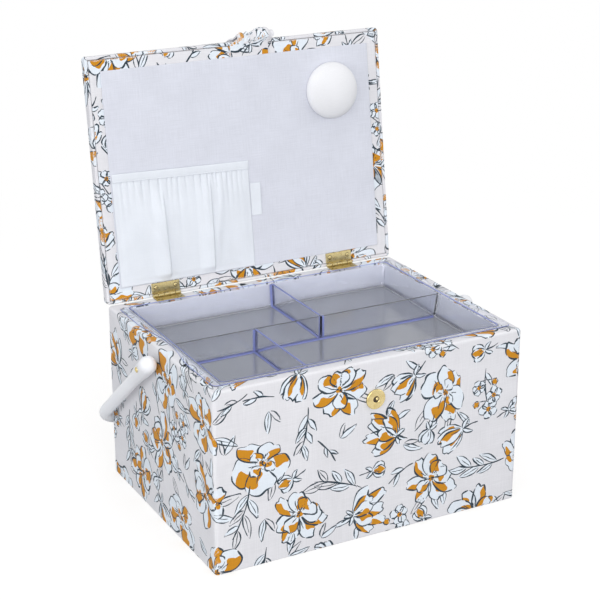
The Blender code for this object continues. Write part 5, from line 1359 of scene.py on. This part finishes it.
def tray():
    """The clear tray as one closed moulding: four wells, divider tops, mouth, flange and drafted outside.

    A well is level loops from the middle of its floor through a fillet, up its drafted sides and over the
    divider's eased edge to the divider's middle. The wells' outer edges are the first loop of the outside, which
    goes on up the mouth, over the flange with its two finger hollows, and down to the underside's middle. Finish 0
    is clear, 1 the edges, feet and corners, painted bluer and less clear for the glow of the light that comes out of
    them, and 2 the floor.
    """
    wall_x, wall_y, top, divider_top, floor = 0.1438, 0.1038, 0.1783, 0.1761, 0.1528
    under, half_x, half_y, draft, sheet = 0.1516, 0.145, 0.105, 0.0035, 0.0010
    eased, fillet, foot = 0.0004, 0.0014, 0.0016
    cuts, mid_y, half = (-0.0595, 0.0115), 0.0, 0.0010
    steps = [np.linspace(0, 1, n + 1) for n in (22, 18, 34)]
    marks = (-wall_x, cuts[0], cuts[1], wall_x)
    across = [marks[k] + (marks[k + 1] - marks[k]) * steps[k] for k in range(3)]
    outer = 0.0038
    patches, chain = [], {}
    for name, low, high, rear in (("bl", 0, 2, True), ("br", 2, 3, True), ("fl", 0, 1, False), ("fr", 1, 3, False)):
        x0, x1 = marks[low], marks[high]
        y0, y1 = (mid_y, wall_y) if rear else (-wall_y, mid_y)
        inner = np.unique(np.concatenate(across[low:high]).round(9))
        share = (inner - x0) / (x1 - x0)
        share[0], share[-1] = 0, 1
        along = np.linspace(0, 1, 25)
        samples = well_samples(share[::-1], along[::-1], share, along)
        at_left, at_right = low == 0, high == 3
        thin = 0.0004
        middle = [0 if at_left else half, 0 if at_right else half, 0 if not rear else half, 0 if rear else half]
        drafts = [draft if at_left else thin, draft if at_right else thin, draft if not rear else thin,
                  draft if rear else thin]
        sign = (1, -1, 1, -1)
        edges = np.array([x0, x1, y0, y1])
        mouth = edges + np.array([s * m for s, m in zip(sign, middle)])
        bottom = mouth + np.array([s * d for s, d in zip(sign, drafts)])
        corner = [outer if (side and not rear) else 0.002 for side in (at_left, at_right)] + \
                 [outer if (side and rear) else 0.002 for side in (at_left, at_right)]
        corner = np.array(corner)
        sharp = np.where(corner == outer, outer, 0.0)
        ease_out = np.array([0.0 if m == 0 else eased for m in middle])
        rows = []
        short = min(bottom[1] - bottom[0], bottom[3] - bottom[2]) / 2
        insets = list(np.linspace(short, fillet * 2, 8))
        for inset in insets + [fillet * (1 - math.sin(a)) for a in np.linspace(0, np.pi / 2, 6)]:
            bow = 1 - math.sqrt(max(0, 1 - (1 - inset / fillet) ** 2)) if inset < fillet else 0
            height = floor + fillet * bow
            level = bottom + np.array([inset, -inset, inset, -inset])
            rows.append(well_loop(samples, *level, np.maximum(corner - inset, 0.0002), height))
        for t in [0.012, *np.linspace(0.125, 0.875, 7), 0.988, 1]:
            height = floor + fillet + (divider_top - eased - floor - fillet) * t
            level = bottom + (mouth - bottom) * (height - floor) / (divider_top - floor)
            rows.append(well_loop(samples, *level, corner, height))
        for a in np.linspace(0, np.pi / 2, 5)[1:]:
            level = mouth - np.array([s * e * (1 - math.cos(a)) for s, e in zip(sign, ease_out)])
            grown = np.where(corner == outer, outer, corner + eased * (1 - math.cos(a)))
            rows.append(well_loop(samples, *level, grown, divider_top - eased + eased * math.sin(a)))
        rows.append(well_loop(samples, *edges, sharp, divider_top))
        grid = np.array(rows)[:, ::-1]
        count_x, turn = len(share), 5
        ends = np.cumsum([count_x, turn, 25, turn, count_x, turn, 25])
        bounds = [0, *ends, grid.shape[1]]
        for number, (first, last) in enumerate(zip(bounds, bounds[1:])):
            side = number // 2 if number % 2 == 0 else None
            left_rib, right_rib = not at_left, not at_right
            along_rib = {0: not rear, 1: left_rib, 2: rear, 3: right_rib}.get(side, False)
            at_corner = {1: left_rib, 3: left_rib, 5: right_rib, 7: right_rib}.get(number, False)
            a, b = grid.shape[1] - 1 - min(last, grid.shape[1] - 1), grid.shape[1] - first
            strip = grid[:, a:b]
            # Finish 1 paints the blue glow at the ribs' feet and at the corners.
            patches += [(strip[:9], 2), (strip[8:14], 1 if along_rib or at_corner else 2),
                        (strip[13:24], 1 if at_corner else 0), (strip[23:], 1 if side in (1, 3) and along_rib else 0)]
        a, last = count_x + turn, rows[-1]
        left_end, front_end, right_end = a + 25, a + 25 + turn + count_x, a + 25 + turn + count_x + turn + 25
        chain[name] = {"bl": last[:left_end], "fl": last[a:front_end], "fr": last[a + 25 + turn:right_end],
                       "br": np.concatenate([last[front_end + turn:-1], last[:count_x]])}[name]
    ring = np.concatenate([chain["bl"], chain["fl"][1:], chain["fr"][1:], chain["br"][1:]])
    centre = np.clip(ring[:, :2], [outer - wall_x, outer - wall_y], [wall_x - outer, wall_y - outer])
    share = (centre + [wall_x - outer, wall_y - outer]) / [2 * (wall_x - outer), 2 * (wall_y - outer)]
    out = (ring[:, :2] - centre) / outer
    samples = (share[:, 0], share[:, 1], out[:, 0], out[:, 1])

    def level(x, front, back, radius, height):
        """A level loop of the outside."""
        return well_loop(samples, -x, x, front, back, [radius] * 4, height)

    rows = [ring]
    rows += [level(wall_x, -wall_y, wall_y, outer, z) for z in (divider_top + 0.0006, top - eased)]
    for a in np.linspace(0, np.pi / 2, 5)[1:]:
        g = eased * (1 - math.cos(a))
        rows.append(level(wall_x + g, -wall_y - g, wall_y + g, outer + g, top - eased + eased * math.sin(a)))
    edge_x, edge_front = 0.1545, -0.110
    for t in (0.01, 0.5, 0.985, 1):
        out_x, front = half_x + (edge_x - eased - half_x) * t, -half_y + (edge_front + eased + half_y) * t
        rows.append(level(out_x, front, half_y - eased, 0.0048, top))
    for a in np.linspace(0, np.pi / 2, 5)[1:]:
        g, fall = eased * math.sin(a), eased * (1 - math.cos(a))
        rows.append(level(edge_x - eased + g, edge_front + eased - g, half_y - eased + g, 0.005, top - fall))
    for a in np.linspace(0, np.pi / 2, 4):
        g = 0.0003 * math.cos(a)
        rows.append(level(edge_x - 0.0003 + g, edge_front + 0.0003 - g, half_y, 0.005,
                          top - 0.0007 - 0.0003 * math.sin(a)))
    for g, out_y in ((edge_x - 0.00045 - half_x, 0.00455), (0.0050, 0.0030), (0.0010, 0.0010), (0.0008, 0.0008)):
        rows.append(level(half_x + g, -half_y - out_y, half_y, 0.005, top - sheet))
    for a in np.linspace(0, np.pi / 2, 4)[1:]:
        g = 0.0008 * (1 - math.sin(a))
        rows.append(level(half_x + g, -half_y - g, half_y, 0.005, top - sheet - 0.0008 * (1 - math.cos(a))))
    for t in np.linspace(0.078, 0.93, 10):
        rows.append(level(half_x - draft * t, -half_y + draft * t, half_y - draft * t, 0.005,
                          top + (under - top) * t))
    low_x, low_y = half_x - draft, half_y - draft
    for a in np.linspace(0, np.pi / 2, 6)[1:]:
        g = foot * (1 - math.cos(a))
        rows.append(level(low_x - g, -low_y + g, low_y - g, 0.005 - g, under + foot * (1 - math.sin(a))))
    for inset in [0.0020, *np.linspace(0.006, low_y, 8)]:
        rows.append(level(low_x - inset, -low_y + inset, low_y - inset, max(0.005 - inset, 0.0002), under))
    along_front = rows[-1][samples[3] < -0.5, 0]
    rows[-1][:, 0] = along_front[np.abs(rows[-1][:, :1] - along_front).argmin(1)]
    grid = np.array(rows)[:, ::-1]
    root, hollow_half, hollow_deep = half_x + 0.0008, 0.060, 0.0072
    reach = np.clip((np.abs(grid[..., 0]) - root) / (edge_x - root), 0, 1)
    hollow = np.cos(np.pi / 2 * np.clip(grid[..., 1] / hollow_half, -1, 1)) ** 2
    grid[..., 0] -= np.sign(grid[..., 0]) * hollow_deep * reach * hollow * (grid[..., 2] > top - 0.0012)
    # Finish 1 on the mouth's rounding and the flange's edge paints the blue glow.
    patches += [(grid[:3], 0), (grid[2:8], 1), (grid[7:11], 0), (grid[10:15], 1), (grid[14:], 0)]
    piece("tray_moulding", [(g, None, number) for g, number in patches], [STYRENE, STYRENE_PAINTED_GLOW, STYRENE_FLOOR],
          "lift_out_tray", ["tray"], sharp=75)


def seen_directly(tree):
    """1 for rays from the camera, from a mirror or through glass, and 0 for the ones that light the object."""
    path = add(tree, "LightPath")
    camera = add(tree, "Math", path.outputs["Is Camera Ray"], path.outputs["Is Glossy Ray"], operation="MAXIMUM")
    return add(tree, "Math", camera, path.outputs["Is Transmission Ray"], operation="MAXIMUM").outputs[0]


def studio():
    """Camera at the photograph's angle, a white surround, a pale table and four soft lamps."""
    scene = bpy.context.scene
    camera = bpy.data.objects.new("camera", bpy.data.cameras.new("camera"))
    scene.collection.objects.link(camera)
    scene.camera = camera
    right, up, back = (0.88224, -0.47081, 0.0), (0.16374, 0.30683, 0.93758), (-0.44142, -0.82716, 0.34778)
    at = (-0.67857, -1.24934, 0.72171)
    camera.matrix_world = Matrix([(right[k], up[k], back[k], at[k]) for k in range(3)] + [(0, 0, 0, 1)])
    pixels, focal_pixels = 600, 1593.5
    camera.data.sensor_width = 36
    camera.data.lens = 36 * focal_pixels / pixels
    scene.view_settings.view_transform = "Standard"
    world = bpy.data.worlds.new("studio")
    scene.world = world
    world.use_nodes = True
    tree = world.node_tree
    shade = add(tree, "Mix", seen_directly(tree), named={6: (0.66, 0.67, 0.69, 1), 7: (1, 1, 1, 1)},
                data_type="RGBA").outputs[2]
    tree.links.new(shade, tree.nodes["Background"].inputs["Color"])
    for name, spot, size, power, colour in (
        ("key", (-0.8, -2.0, 0.80), 1.6, 23, (1, 0.99, 0.98)),
        ("left fill", (-2.1, -0.9, 0.40), 1.6, 18, (0.98, 0.99, 1)),
        ("right fill", (2.0, -1.2, 0.9), 1.6, 8, (0.98, 0.99, 1)),
        ("top", (0.1, 0.2, 2.4), 1.6, 8, (1, 1, 1)),
    ):
        lamp = bpy.data.lights.new(name, "AREA")
        lamp.shape, lamp.size, lamp.energy, lamp.color = "DISK", size, power, colour
        thing = bpy.data.objects.new(name, lamp)
        thing.location = spot
        thing.rotation_euler = (Vector((0, 0, 0.18)) - Vector(spot)).to_track_quat("-Z", "Y").to_euler()
        scene.collection.objects.link(thing)
    plane = bpy.data.meshes.new("table")
    reach = 6.0
    plane.from_pydata([(-reach, -reach, 0), (reach, -reach, 0), (reach, reach, 0), (-reach, reach, 0)], [],
                      [(0, 1, 2, 3)])
    table = bpy.data.objects.new("table", plane)
    scene.collection.objects.link(table)
    plane.materials.append(table_finish())


def table_finish():
    """Matt grey table top, lifted to white where it is seen straight, with the shadow kept.

    It is plain white farther out.
    """
    material, tree, shader = finish("matt_table", Roughness=0.9, Specular_IOR_Level=0.1)
    shader.inputs["Base Color"].default_value = (0.30, 0.31, 0.33, 1)
    seen = seen_directly(tree)
    away = add(tree, "VectorMath", add(tree, "TexCoord").outputs["Object"], operation="LENGTH").outputs["Value"]
    far = add(tree, "Math", add(tree, "MapRange", away, 0.42, 1.1, 0.0, 1.0).outputs[0], seen,
              operation="MULTIPLY").outputs[0]
    lifted = add(tree, "Emission", (1, 0.98, 0.945, 1), add(tree, "Math", seen, 0.74, operation="MULTIPLY"))
    near = add(tree, "AddShader", shader, lifted)
    whole = add(tree, "MixShader", far, near, add(tree, "Emission", (1, 1, 1, 1), 1.0))
    tree.links.new(whole.outputs[0], tree.nodes["Material Output"].inputs["Surface"])
    return material


box_cover()
base()
linings()
hinges()
snap_socket()
lid_cover()
lid_panel()
pocket()
label()
pincushion()
strap()
handle()
handle_pins()
tray()
studio()

FINISH_OF = {"fibreboard": BOARD, "wadding": WADDING, "polished_brass": BRASS, "magnet_steel": STEEL}
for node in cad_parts.values():
    for held in node.material_slots:
        held.material = FINISH_OF.get(held.material.name, held.material)
